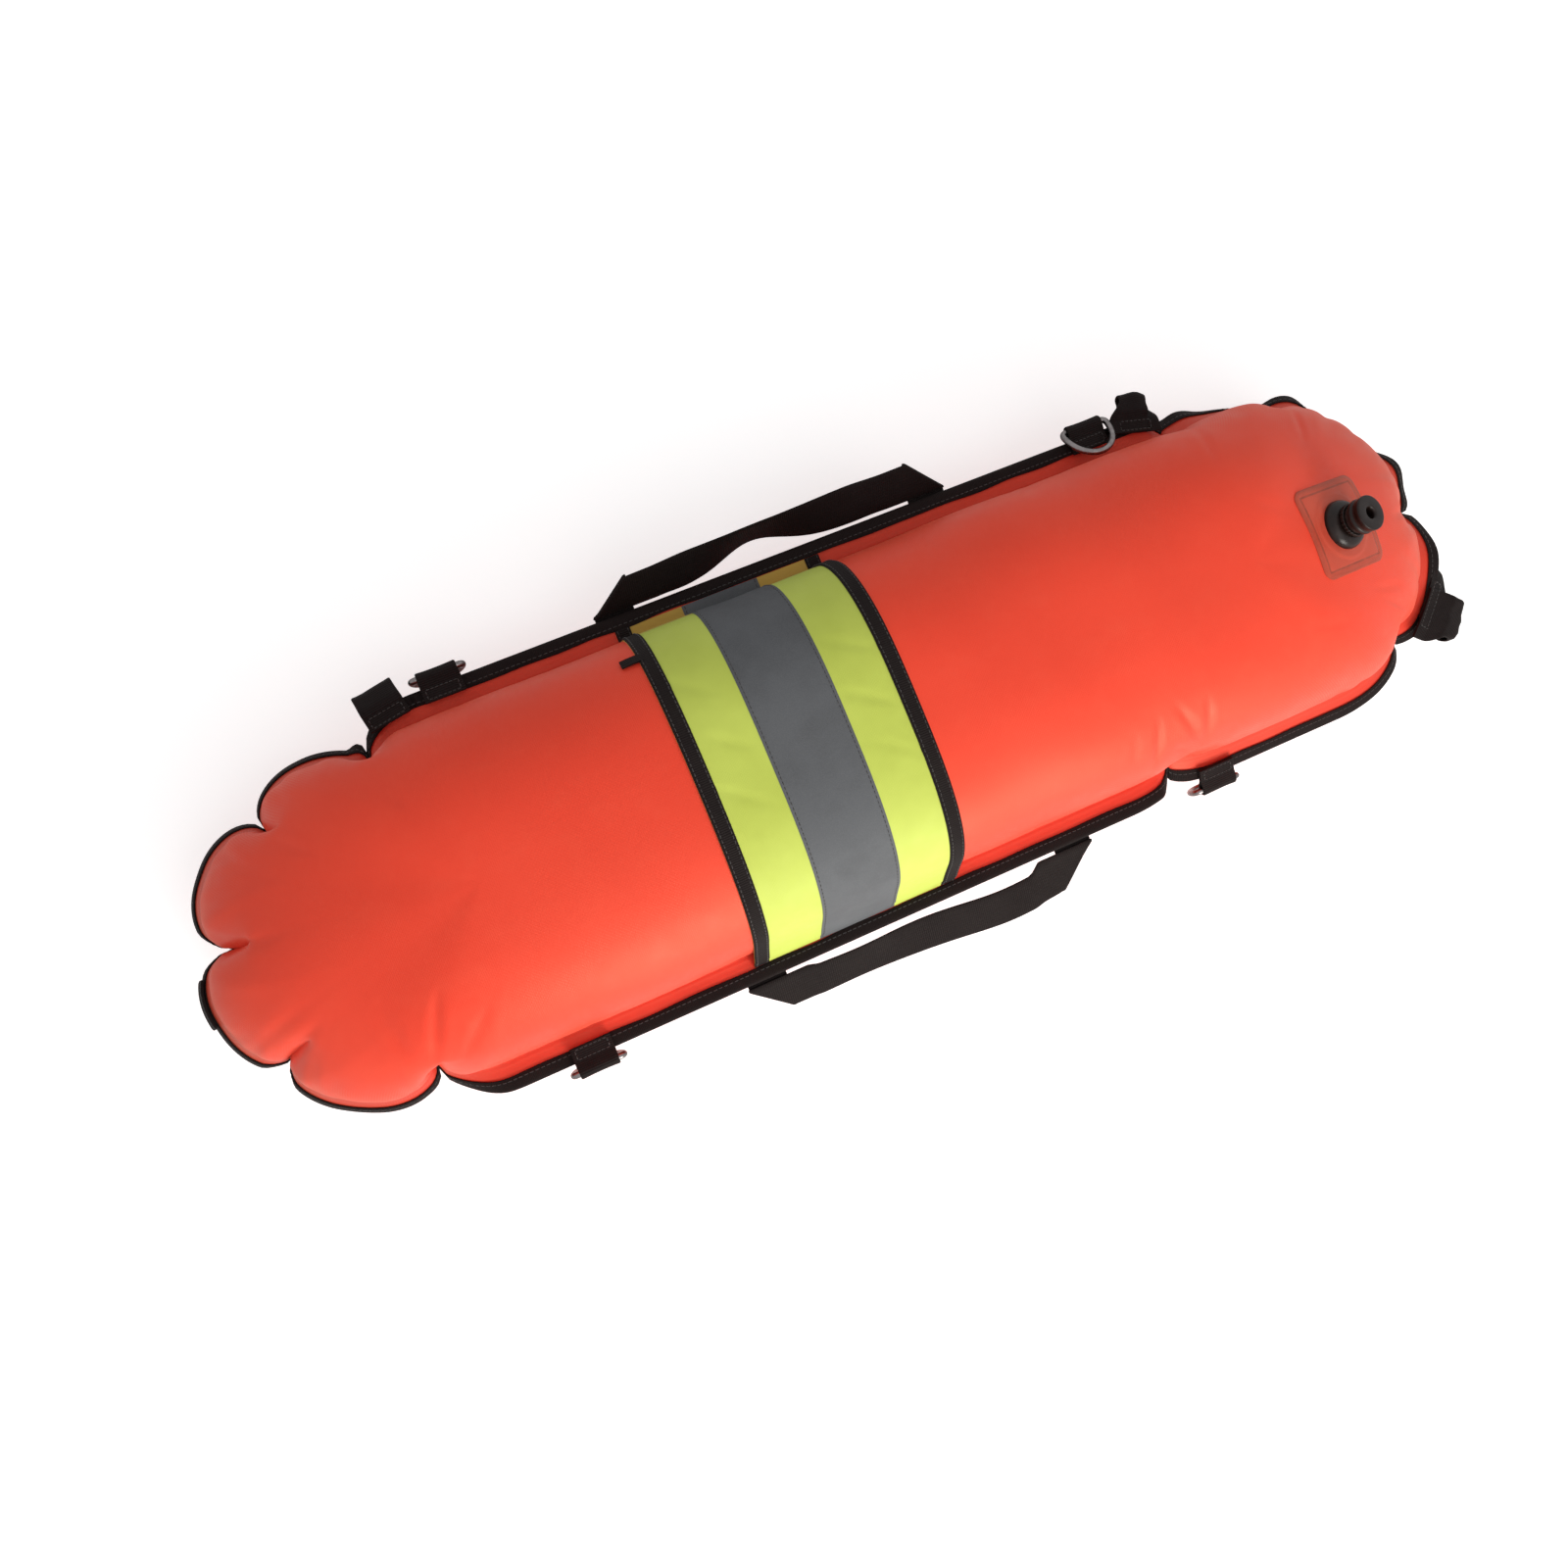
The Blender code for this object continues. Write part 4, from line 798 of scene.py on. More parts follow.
@dataclass
class BagForm:
    """The blown-up bag as one surface: outline, welded margin, pinched folds, crown and soft relief."""

    length: float = 0.810
    width: float = 0.198
    end_length: float = 0.100
    crown: float = 0.0756
    flat_depth: float = 0.073
    pole_x: float = 0.240
    side_fullness: float = 2.67
    end_fullness: float = 1.60
    cloth: float = 0.0008
    rim_width: float = 0.019
    fold_reach: float = 0.036
    hanging_turn: float = 0.012
    left_rise: float = 0.050
    other_rise: float = 0.036
    left_tilt: float = 65.0
    right_tilts: tuple[float, ...] = (70.0, 70.0, 20.0, 30.0)
    seed: int = 11
    # Each pinched fold: its angle on an end or its x on a side, then its depth, turn and tilt
    left_end: Rows = ((62.0, 0.020, 0.012, 66.0), (14.0, 0.020, 0.012, 80.0), (-34.0, 0.013, 0.012, 80.0),
                      (-88.0, 0.020, 0.045, 60.0))
    right_end: Rows = ((71.0, 0.009, 0.014, 60.0), (-3.5, 0.015, 0.030, 26.0), (-55.0, 0.012, 0.014, 36.0))
    far_side: Rows = ((-0.277, 0.019, 0.020, 30.0), (0.265, 0.006, 0.014, 35.0))
    near_side: tuple[float, ...] = (0.178, 0.010, 0.014, 35.0)
    # Where the right end's margin lifts: angle, degrees and spread
    right_lifts: Rows = ((104.0, 32.0, 0.018), (59.0, 30.0, 0.016), (12.0, 45.0, 0.017), (-20.0, 15.0, 0.022))
    # The valley in the cloth at each fold, and the lips beside it
    valley_reach: float = 0.017
    valley_width: float = 0.0045
    valley_depth: float = 0.099
    lip_place: float = 0.011
    lip_width: float = 0.006
    lip_height: float = 0.45
    # The welding bars' marks on the margin
    bar_places: tuple[float, ...] = (0.0022, 0.0052)
    bar_width: float = 0.0005
    bar_depth: float = 0.00018
    folds: list[PinchFold] = field(default_factory=list)

    def __post_init__(self) -> None:
        """Works out the runs round the rim, the folds in order and the random puckers."""
        self.half_width = self.width / 2
        self.end_start = self.length / 2 - self.end_length
        self.end_run = math.pi * (self.end_length + self.half_width) / 2
        self.side_run = 2 * self.end_start
        self.rim_run = 2 * (self.side_run + self.end_run)
        self.seam_z = self.flat_depth + GAP / 2 + self.cloth
        folds = [PinchFold(self.run_at_x(x, Side.FAR), *shape) for x, *shape in self.far_side]
        folds += [PinchFold(self.run_at_angle(angle, 1), *shape) for angle, *shape in self.right_end]
        folds += [PinchFold(self.run_at_x(self.near_side[0], Side.NEAR), *self.near_side[1:])]
        folds += [PinchFold(self.run_at_angle(angle, -1), *shape) for angle, *shape in self.left_end]
        self.folds = sorted(folds, key=lambda fold: fold.run)
        rng = np.random.default_rng(self.seed)
        self.puckers = self.random_puckers(rng)
        self.swells = [(rng.uniform(20, 75), rng.uniform(15, 60), rng.uniform(0, math.tau),
                        rng.uniform(0.12, 0.34) * MM) for _ in range(7)]

    def run_at_x(self, x: float | np.ndarray, side: Side) -> float | np.ndarray:
        """Gives the run along the rim at x on a long side."""
        return self.end_start + x if side is Side.FAR else self.side_run + self.end_run + self.end_start - x

    def run_at_angle(self, angle: float, end: int) -> float:
        """Gives the run at an angle off the +X axis on the right end (1), or off -X on the left (-1)."""
        turn = (90.0 - angle) / 180.0 * self.end_run
        return self.side_run + turn if end > 0 else 2 * self.side_run + 2 * self.end_run - turn

    def random_puckers(self, rng: np.random.Generator) -> list[tuple[float, ...]]:
        """Spaces small puckers along the weld, stronger where the rim curves.

        Args:
            rng: The seeded source of chance.

        Returns:
            Run, depth, width, reach, lean and panel of each: 0 for both, 1 and 2 for one panel only.
        """
        puckers, run = [], 0.0
        while run < self.rim_run:
            edge, _ = self.plain_edge(np.array([run]))
            curved = float(smooth_share((abs(edge[0, 0]) - 0.26) / 0.06))
            depth = rng.uniform(0.18, 0.45) + curved * rng.uniform(0.35, 1.05)
            puckers.append((run, depth * MM, rng.uniform(3.2, 6.5) * MM, rng.uniform(8, 17) * MM,
                            rng.uniform(-0.5, 0.5), float(rng.integers(0, 3))))
            run += rng.uniform(9, 21) * MM
        return puckers

    def plain_edge(self, run: np.ndarray) -> tuple[np.ndarray, np.ndarray]:
        """Gives the weld line without its folds.

        Args:
            run: Runs along the rim.

        Returns:
            The points and their outward normals, in plan.
        """
        run = np.mod(run, self.rim_run)
        far = run < self.side_run
        right = ~far & (run < self.side_run + self.end_run)
        near = ~far & ~right & (run < 2 * self.side_run + self.end_run)
        end = np.where(right, 1.0, -1.0)
        local = np.where(right, run - self.side_run, run - 2 * self.side_run - self.end_run)
        angle = end * (math.pi / 2 - math.pi * local / self.end_run)
        x = end * (self.end_start + self.end_length * np.cos(angle))
        y = self.half_width * np.sin(angle)
        nx, ny = end * np.cos(angle) / self.end_length, np.sin(angle) / self.half_width
        x = np.where(far, run - self.end_start, x)
        x = np.where(near, self.end_start - (run - self.side_run - self.end_run), x)
        straight = far | near
        y = np.where(straight, np.where(far, self.half_width, -self.half_width), y)
        normal = unit(np.stack([np.where(straight, 0.0, nx),
                                np.where(straight, np.where(far, 1.0, -1.0), ny)], axis=-1))
        return np.stack([x, y], axis=-1), normal

    def apart(self, a: np.ndarray | float, b: np.ndarray | float) -> np.ndarray:
        """Gives the signed run from b to a, the short way round."""
        return np.mod(a - b + self.rim_run / 2, self.rim_run) - self.rim_run / 2

    def pull_in(self, run: np.ndarray) -> np.ndarray:
        """Gives how far the folds draw the weld line in, in round lobes."""
        pulled = np.zeros_like(run)
        count = len(self.folds)
        for index, fold in enumerate(self.folds):
            off = self.apart(run, fold.run)
            beside = [self.folds[(index + way) % count].run for way in (1, -1)]
            reach = np.where(off > 0, *(min(self.fold_reach, abs(float(self.apart(other, fold.run))) / 2)
                                        for other in beside))
            share = np.clip(1 - np.abs(off) / reach, 0.0, 1.0)
            pulled = np.maximum(pulled, fold.depth * (1 - np.sqrt(1 - share * share)))
        return pulled

    def rim_tilt(self, run: np.ndarray) -> np.ndarray:
        """Gives the angle, in radians, that the welded margin hangs below level."""
        point, _ = self.plain_edge(run)
        x = point[..., 0]
        first = self.run_at_x(self.far_side[0][0], Side.FAR)
        last = self.run_at_angle(self.left_end[-1][0], -1)
        hanging = (self.apart(run, first) < 0) & (self.apart(run, last) > 0) & (x < 0)
        tilt = np.where(hanging, self.left_tilt, 0.0)
        stops = [self.run_at_x(self.far_side[1][0], Side.FAR)]
        stops += [self.run_at_angle(angle, 1) for angle, *_ in self.right_end]
        stops += [self.run_at_x(self.near_side[0], Side.NEAR)]
        within = np.mod(run, self.rim_run)
        for lobe_tilt, start, stop in zip(self.right_tilts, stops, stops[1:]):
            tilt = np.where((within > start) & (within < stop), lobe_tilt, tilt)
        for angle, lift, spread in self.right_lifts:
            tilt = tilt - lift * bell(self.apart(run, self.run_at_angle(angle, 1)), spread)
        for fold in self.folds:
            turn = np.where(hanging, self.hanging_turn, fold.turn)
            tilt = tilt + (fold.tilt - tilt) * smooth_share(1 - np.abs(self.apart(run, fold.run)) / turn)
        return np.radians(tilt)

    def rim_frames(self, run: np.ndarray) -> tuple[np.ndarray, np.ndarray, np.ndarray, np.ndarray]:
        """Gives the weld line's points with the margin's outward, upward and lengthwise directions.

        Args:
            run: Runs along the rim.

        Returns:
            Points, outward, upward and lengthwise vectors.
        """
        edge, normal = self.plain_edge(run)
        edge = edge - normal * self.pull_in(run)[..., None]
        tilt = self.rim_tilt(run)[..., None]
        out = np.concatenate([normal * np.cos(tilt), -np.sin(tilt)], axis=-1)
        up = np.concatenate([normal * np.sin(tilt), np.cos(tilt)], axis=-1)
        weld = np.concatenate([edge, np.full((*edge.shape[:-1], 1), self.seam_z)], axis=-1)
        return weld, out, up, np.cross(out, up)

    def rim_place(self, run: float, turn: float = 0.0, lift: float = 0.0) -> Matrix:
        """Gives a place on the rim's outer edge.

        Args:
            run: The run along the rim.
            turn: A turn in degrees about the margin's upper normal.
            lift: Height off the margin.

        Returns:
            A matrix with x along the rim, y outwards and z off its upper face.
        """
        weld, away, up, along = (v[0] for v in self.rim_frames(np.array([run])))
        basis = Matrix((along, away, up)).transposed().to_4x4()
        return (Matrix.Translation(Vector(weld + away * self.rim_width + up * lift)) @ basis
                @ Matrix.Rotation(math.radians(turn), 4, "Z"))

    def even_rows(self, count: int) -> np.ndarray:
        """Gives row angles that step the bag's section evenly, from the weld to the crown."""
        fine = np.radians(90 * (1 - np.linspace(0, 1, 1200) ** 1.6))
        power = 2 / self.side_fullness
        across = self.half_width * np.sin(fine) ** power
        up = self.crown * np.maximum(np.cos(fine), 0) ** power
        run = lengths_down(np.stack([across, up], axis=-1))
        return np.degrees(np.interp(np.linspace(0, run[-1], count), run, fine))

    def body(self, run: np.ndarray, spine_x: np.ndarray, rows: np.ndarray, side: int) -> np.ndarray:
        """Gives the blown-up form without its soft relief.

        Args:
            run: The columns' runs along the rim.
            spine_x: The x of the spine point that each column rises to.
            rows: Angles from the crown.
            side: 1 for the upper panel, -1 for the lower one.

        Returns:
            A grid of points, rows by columns.
        """
        edge, normal = self.plain_edge(run)
        share = smooth_share((np.abs(edge[:, 0]) - self.pole_x) / (self.length / 2 - self.pole_x))
        power = 2 / (self.side_fullness + (self.end_fullness - self.side_fullness) * share)
        turn = np.radians(rows)[:, None]
        reach = np.sin(turn) ** power
        height = self.crown * np.maximum(np.cos(turn), 0.0) ** power
        spine = np.stack([spine_x, np.zeros_like(spine_x)], axis=-1)
        away = np.linalg.norm(edge - spine, axis=-1)
        distance = np.hypot(height, away * (1 - reach))
        rise = distance / np.where((edge[:, 0] < 0) | (side < 0), self.left_rise, self.other_rise)
        hold = np.where(rise < 1, 1 - rise**2 if side > 0 else 1 + 1.2 * rise - 2.2 * rise**2, 0.0)
        plan = (spine + (edge - spine) * reach[..., None]
                - normal * (self.pull_in(run) * hold)[..., None])
        if side < 0:
            height = self.soft_floor(height)
        z = self.seam_z + side * (height + GAP / 2)
        return np.concatenate([plan, z[..., None]], axis=-1)

    def soft_floor(self, height: np.ndarray) -> np.ndarray:
        """Flattens the bag where it lies, with a soft turn into the flat."""
        round_off = 1.2 * MM
        start = self.flat_depth - round_off
        over = np.clip((height - start) / (2 * round_off), 0.0, 1.0)
        eased = start + 2 * round_off * (over - over**2 / 2)
        return np.where(height > start, np.minimum(eased, self.flat_depth), height)

    def relief(self, points: np.ndarray, run: np.ndarray, from_weld: np.ndarray, cut: np.ndarray,
               side: int) -> np.ndarray:
        """Gives the height of puckers, creases and soft swells on the cloth.

        Args:
            points: The bag's points.
            run: The columns' runs along the rim.
            from_weld: Distance from the weld line over the cloth.
            cut: Place on the flat cut.
            side: 1 for the upper panel, -1 for the lower one.

        Returns:
            A height off the cloth for each point.
        """
        height = np.zeros(points.shape[:2])
        for at, depth, wide, reach, lean, which in self.puckers:
            if which == (1 if side < 0 else 2):
                continue
            off = self.apart(run, at)[None] - lean * from_weld
            share = from_weld / reach
            height -= depth * bell(off, wide) * share * np.exp(1 - share)
        share = from_weld / self.valley_reach
        for fold in self.folds:
            off = np.abs(self.apart(run, fold.run))[None]
            valley = bell(off, self.valley_width * (1 + share))
            lip = self.lip_height * bell(off - self.lip_place * (1 + 0.6 * share), self.lip_width)
            height -= fold.depth * self.valley_depth * (valley - lip) * share * np.exp(1 - share)
        fade = smooth_share(from_weld / 0.03)
        height *= smooth_share((from_weld[-1] - from_weld) / 0.03)
        for long, wide, phase, size in self.swells:
            height += size * fade * np.sin(cut[..., 0] * long + cut[..., 1] * wide + phase)
        if side > 0:
            for crease in TOP_CREASES:
                height += crease.relief(points[..., 0], points[..., 1]) * smooth_share(from_weld / 0.006)
        else:
            height *= smooth_share((points[..., 2] - 0.002) / 0.012)
        return height

    def patch(self, run: np.ndarray, spine_x: np.ndarray, rows: np.ndarray, side: int,
              margin: Sequence[float], closed: bool, valve: "ValveSeat | None" = None) -> Patch:
        """Makes a grid from the margin's edge up to the spine.

        Args:
            run: The columns' runs along the rim.
            spine_x: The x of the spine point of each column.
            rows: Angles from the crown, the first at the weld.
            side: 1 for the upper panel, -1 for the lower one.
            margin: Widths of the welded margin, outermost first.
            closed: Whether the columns go all the way round.
            valve: The valve's seat, which flattens the cloth round it.

        Returns:
            The grid with its normals and its flat cut.
        """
        points = self.body(run, spine_x, rows, side)
        from_weld = lengths_down(points)
        edge, _ = self.plain_edge(run)
        spine = np.stack([spine_x, np.zeros_like(spine_x)], axis=-1)
        direction = unit(edge - spine)
        inwards = from_weld[-1] - from_weld
        cut = spine + direction * inwards[..., None]
        normals = grid_normals(points, closed)
        normals = facing(normals, normals[len(rows) // 2, 0, 2] * side)
        normals[-1] = (0.0, 0.0, side)
        points = points + normals * self.relief(points, run, from_weld, cut, side)[..., None]
        if valve is not None and side > 0:
            points = valve.settle(points)
        weld, out, up, _ = self.rim_frames(run)
        widths = np.array(margin)[:, None]
        lift = side * (GAP / 2 + self.weld_ridge(widths))
        grid = np.concatenate([weld + out * widths[..., None] + up * lift[..., None], points])
        normals = grid_normals(grid, closed)
        normals = facing(normals, normals[-(len(rows) // 2), 0, 2] * side)
        normals[:len(margin)] = up * side
        normals[len(margin)] = unit(normals[len(margin)] + 1.5 * up * side)
        normals[-1] = unit(normals[-2] * (0.0, 0.0, 1.0)) if closed else normals[-1]
        margin_cut = cut[0] + direction * widths[..., None]
        return Patch(grid, unit(normals), np.concatenate([margin_cut, cut]), closed, closed)

    def weld_ridge(self, widths: np.ndarray) -> np.ndarray:
        """Gives the height of the two welding bars' marks on the margin."""
        return -self.bar_depth * sum(bell(widths - at, self.bar_width) for at in self.bar_places)

    def columns(self, step: float) -> tuple[np.ndarray, np.ndarray]:
        """Spaces columns round the whole rim, with one in each fold.

        Args:
            step: The distance between them.

        Returns:
            Their runs, and the x of the spine point that each rises to.
        """
        stations = np.linspace(-self.pole_x, self.pole_x, int(2 * self.pole_x / step) + 1)
        stations[np.argmin(np.abs(stations - self.near_side[0]))] = self.near_side[0]
        runs, spines = [], []
        for end, first, second in ((1, Side.FAR, Side.NEAR), (-1, Side.NEAR, Side.FAR)):
            start = self.run_at_x(end * self.pole_x, first)
            stop = self.run_at_x(end * self.pole_x, second)
            spread = float(np.mod(stop - start, self.rim_run))
            fan = np.linspace(0, spread, int(spread / step) + 1)[1:-1]
            for fold in self.folds:
                at = float(np.mod(fold.run - start, self.rim_run))
                if 0 < at < spread:
                    fan[np.argmin(np.abs(fan - at))] = at
            runs += [self.run_at_x(stations[::end], first), start + fan]
            spines += [stations[::end], np.full(len(fan), end * self.pole_x)]
        return np.concatenate(runs), np.concatenate(spines)


# Where each crease starts and stops, with its depth and width in millimetres: first the N of creases
# by the near fold, then those at the ends, the valve and the band
TOP_CREASES = tuple(Crease(start, stop, depth * MM, width * MM) for start, stop, depth, width in (
    ((0.148, -0.090), (0.152, -0.062), 1.3, 3.2), ((0.181, -0.090), (0.163, -0.058), 1.3, 3.4),
    ((0.184, -0.090), (0.186, -0.062), 1.2, 3.4), ((0.174, -0.091), (0.162, -0.085), 0.9, 2.6),
    ((0.132, -0.086), (0.136, -0.064), 0.4, 3.8), ((-0.300, -0.078), (-0.284, -0.044), 1, 5),
    ((-0.312, -0.070), (-0.318, -0.038), 0.9, 4.2), ((-0.286, -0.084), (-0.262, -0.062), 0.6, 4.5),
    ((-0.374, -0.045), (-0.348, -0.037), 0.9, 4.6), ((-0.374, 0.018), (-0.352, 0.014), 0.6, 5),
    ((-0.338, 0.066), (-0.318, 0.048), 0.7, 4.6), ((-0.276, 0.078), (-0.264, 0.050), 0.8, 5),
    ((0.262, 0.094), (0.250, 0.066), 0.8, 4.4), ((0.332, 0.078), (0.318, 0.054), 1, 4.2),
    ((0.396, -0.006), (0.366, -0.006), 1, 4.2), ((0.362, -0.066), (0.330, -0.052), 0.9, 3.6),
    ((0.352, -0.048), (0.322, -0.044), 0.5, 3.2), ((0.292, -0.056), (0.262, -0.050), 0.45, 3.4),
    ((0.278, 0.020), (0.256, 0.034), 0.4, 4), ((-0.108, 0.062), (-0.084, 0.044), 0.45, 4),
    ((-0.100, 0.024), (-0.078, 0.010), 0.45, 4.2), ((-0.106, -0.004), (-0.080, -0.024), 0.55, 4.2),
    ((-0.018, 0.050), (0.010, 0.034), 0.45, 4), ((-0.020, 0.020), (0.008, 0.002), 0.55, 4.2),
    ((-0.016, -0.012), (0.012, -0.030), 0.4, 4), ((-0.020, -0.090), (0.006, -0.060), 0.35, 4.8),
))


@dataclass
class ValveSeat:
    """The valve's place on the top panel, read from the turn of its lock ring."""

    stiff_radius: float = 0.010
    fade: float = 0.030
    reach: float = 0.045
    depth: float = 0.03
    sink: float = 0.0009
    hold: float = 0.85

    def __post_init__(self) -> None:
        """Finds the axis and the seat."""
        joint = next(j for j in frame["joints"] if j["name"] == "lock_ring_turn")
        self.origin = Vector(joint["pos_m"])
        self.axis = Vector(joint["axis"]).normalized()
        side = Vector((0.0, 1.0, 0.0)).cross(self.axis).normalized()
        basis = Matrix((side, self.axis.cross(side), self.axis)).transposed().to_4x4()
        self.place = Matrix.Translation(self.origin) @ basis

    def settle(self, points: np.ndarray) -> np.ndarray:
        """Flattens the cloth round the valve, where the welded flange stiffens it."""
        to = points - np.array(self.origin)
        axis = np.array(self.axis)
        height = to @ axis
        radius = np.linalg.norm(to - height[..., None] * axis, axis=-1)
        keep = smooth_share((radius - self.stiff_radius) / self.fade)
        near = (radius < self.reach) & (np.abs(height) < self.depth)
        drop = np.where(near, (height + self.sink) * (1 - keep) * self.hold, 0.0)
        return points - drop[..., None] * axis


@dataclass
class BagSkins:
    """The two welded panels of coated cloth."""

    form: BagForm
    step: float = 0.0024
    row_count: int = 54
    margin: tuple[float, ...] = (0.0177, 0.0140, 0.0110, 0.0097, 0.0080, 0.0066, 0.0052, 0.0042, 0.0030,
                                 0.0022, 0.0014, 0.0006)

    def build(self, seat: ValveSeat) -> bpy.types.Object:
        """Args:
            seat: The valve's seat on the top panel.

        Returns:
            The upper panel.
        """
        rows = self.form.even_rows(self.row_count)
        run, spine_x = self.form.columns(self.step)
        made = []
        for name, side, node in (("upper_skin", 1, "upper_panel"), ("lower_skin", -1, "lower_panel")):
            patch = self.form.patch(run, spine_x, rows, side, self.margin, True, seat)
            skin = patch.shell(name, 0.0, self.form.cloth, ORANGE)
            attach(skin, "bag")
            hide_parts(node)
            made.append(skin)
        return made[0]


@dataclass
class RimBinding:
    """Webbing folded round the cut edge of both panels and sewn through."""

    form: BagForm
    width: float = 0.009
    thickness: float = 0.001
    step: float = 0.0024
    stitch_inset: float = 0.0024
    # The face's columns: steps in from its inner edge, and the last one's distance from the fold
    face_steps: tuple[float, ...] = (0.0, 0.0008, 0.003)
    fold_step: float = 0.004
    edge_share: float = 0.35
    wander_width: float = 0.0035
    seed: int = 5
    seam: Seam = Seam()

    @property
    def face(self) -> float:
        """Height of the binding's face off the weld plane."""
        return GAP / 2 + self.form.cloth + GAP + self.thickness

    def build(self) -> None:
        """Makes the tape and its seams."""
        form = self.form
        run, _ = form.columns(self.step)
        weld, out, up, _ = form.rim_frames(run)
        middle = self.face - self.thickness / 2
        start, end = form.rim_width - self.width, form.rim_width - self.thickness / 2
        turns = np.linspace(math.pi / 2, -math.pi / 2, 9)
        flat = (*(start + step for step in self.face_steps), end - self.fold_step)
        profile = [(x, middle) for x in flat]
        profile += [(end - middle + middle * math.cos(t), middle * math.sin(t)) for t in turns]
        profile += [(x, -middle) for x in reversed(flat)]
        rng = np.random.default_rng(self.seed)
        wander = sum(rng.uniform(0.08, 0.2) * MM * np.sin(run * rng.uniform(20, 160) + rng.uniform(0, 6))
                     for _ in range(6))
        wanders = start + self.wander_width
        grid = np.stack([weld + out * (x + (x < wanders) * wander)[:, None] + up * z for x, z in profile])
        normals = grid_normals(grid, True)
        normals = facing(normals, float((normals[2] * up).sum()))
        thick = np.full(grid.shape[:2], self.thickness / 2)
        thick[[0, -1]] *= self.edge_share
        across = lengths_down(grid)
        cut = np.stack([across, np.broadcast_to(run, across.shape)], axis=-1)
        tape = Patch(grid, normals, cut, True).shell("rim_binding_tape", -thick, thick, RIM_TAPE)
        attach(tape, "bag")
        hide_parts("edge_binding")
        inset = start + self.stitch_inset
        for name, way in (("rim_seam_top", 1), ("rim_seam_under", -1)):
            line = weld + out * inset + up * way * self.face
            self.seam.sew(name, line, up * way, closed=True)


@dataclass
class ReflectiveBand:
    """The lime band across the top with its silver tape and black edge trims."""

    form: BagForm
    left: float = -0.1171
    width: float = 0.1347
    trim_width: float = 0.0095
    silver_left: float = -0.0739
    silver_width: float = 0.0499
    cloth: float = 0.0005
    film: float = 0.0004
    trim_tape: float = 0.0011
    margin: tuple[float, ...] = (0.0097, 0.0080, 0.0062, 0.0052, 0.0042, 0.0030, 0.0022, 0.0014, 0.0006)
    row_count: int = 54
    taut_height: float = 0.034
    taut_slack: float = 0.0006
    sag: Place = (0.0, 0.25, -0.97)
    step: float = 0.0024
    trim_step: float = 0.0016
    cloth_lift: float = 0.1 * MM
    tape_lift: float = 0.05 * MM
    edge_share: float = 0.45
    tail_lift: float = 0.0004
    tail_curl: float = 0.0007
    tail_thickness: float = 0.0012
    seam_inset: float = 0.0018
    trim_seam_inset: float = 0.0015
    seam: Seam = Seam(pitch=0.0030, thread=0.0005)

    def strip(self, left: float, right: float, step: float) -> Patch:
        """Makes the grid of a strip that crosses the top panel from edge to edge.

        Args:
            left: The strip's lesser x.
            right: Its greater x.
            step: The distance between its columns.

        Returns:
            The strip's grid, from the far edge to the near one.
        """
        x = np.linspace(left, right, max(5, int(round((right - left) / step)) + 1))
        rows = self.form.even_rows(self.row_count)
        far = self.form.patch(self.form.run_at_x(x, Side.FAR), x, rows, 1, self.margin, False)
        near = self.form.patch(self.form.run_at_x(x, Side.NEAR), x, rows, 1, self.margin, False)
        self.draw_taut(near.points)
        strip = strap_patch(np.concatenate([far.points, near.points[-2::-1]]), x)
        strip.normals = facing(strip.normals, strip.normals[len(strip.points) // 2, 0, 2])
        edge = len(self.margin) + 1
        strip.normals[:edge] = far.normals[:edge]
        strip.normals[-edge:] = near.normals[:edge][::-1]
        return strip

    def draw_taut(self, points: np.ndarray) -> None:
        """Draws the strip straight from the flank to the binding, over the crease of the weld.

        Args:
            points: The near side's grid, from the binding up, which is changed.
        """
        last = int(np.argmax(points[:, 0, 2] > self.form.seam_z + self.taut_height))
        start, stop = points[0].copy(), points[last].copy()
        run = lengths_down(points)[:last + 1]
        share = (run / run[last])[..., None]
        slack = self.taut_slack * np.sin(math.pi * share) * self.sag
        points[:last + 1] = start + (stop - start) * share + slack

    def build(self) -> None:
        """Makes the cloth, the tape, the trims, their seams and the trim's loose tail."""
        right = self.left + self.width
        low = self.form.cloth + self.cloth_lift
        base = self.strip(self.left, right, self.step)
        cloth = base.shell("lime_band", low, low + self.cloth, LIME)
        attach(cloth, "bag")
        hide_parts("band_cloth")
        tape_low = low + self.cloth + self.tape_lift
        silver_right = self.silver_left + self.silver_width
        silver = self.strip(self.silver_left, silver_right, self.step)
        film = silver.shell("silver_reflective_film", tape_low,
                            tape_low + silver.thinned(self.film, self.edge_share), SILVER)
        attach(film, "bag")
        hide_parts("reflective_tape")
        for name, x in (("left", self.silver_left + self.seam_inset),
                        ("right", silver_right - self.seam_inset)):
            self.sew_strip(f"silver_seam_{name}", x, tape_low + self.film)
        for name, start in (("left", self.left), ("right", right - self.trim_width)):
            trim = self.strip(start, start + self.trim_width, self.trim_step)
            tape = trim.shell(f"{name}_trim_webbing", tape_low,
                              tape_low + trim.thinned(self.trim_tape, self.edge_share), WEBBING)
            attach(tape, "bag")
            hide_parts(f"band_trim_{name}")
            for side, inset in (("outer", self.trim_seam_inset),
                                ("inner", self.trim_width - self.trim_seam_inset)):
                x = start + inset if name == "left" else start + self.trim_width - inset
                self.sew_strip(f"{name}_trim_seam_{side}", x, tape_low + self.trim_tape)
        self.build_tail()

    def sew_strip(self, name: str, x: float, height: float) -> None:
        """Sews a row of stitches over the top at one x."""
        line = self.strip(x - 0.4 * MM, x + 0.4 * MM, 0.0002)
        middle = line.points.shape[1] // 2
        self.seam.sew(name, line.lifted(height)[:, middle], line.normals[:, middle])

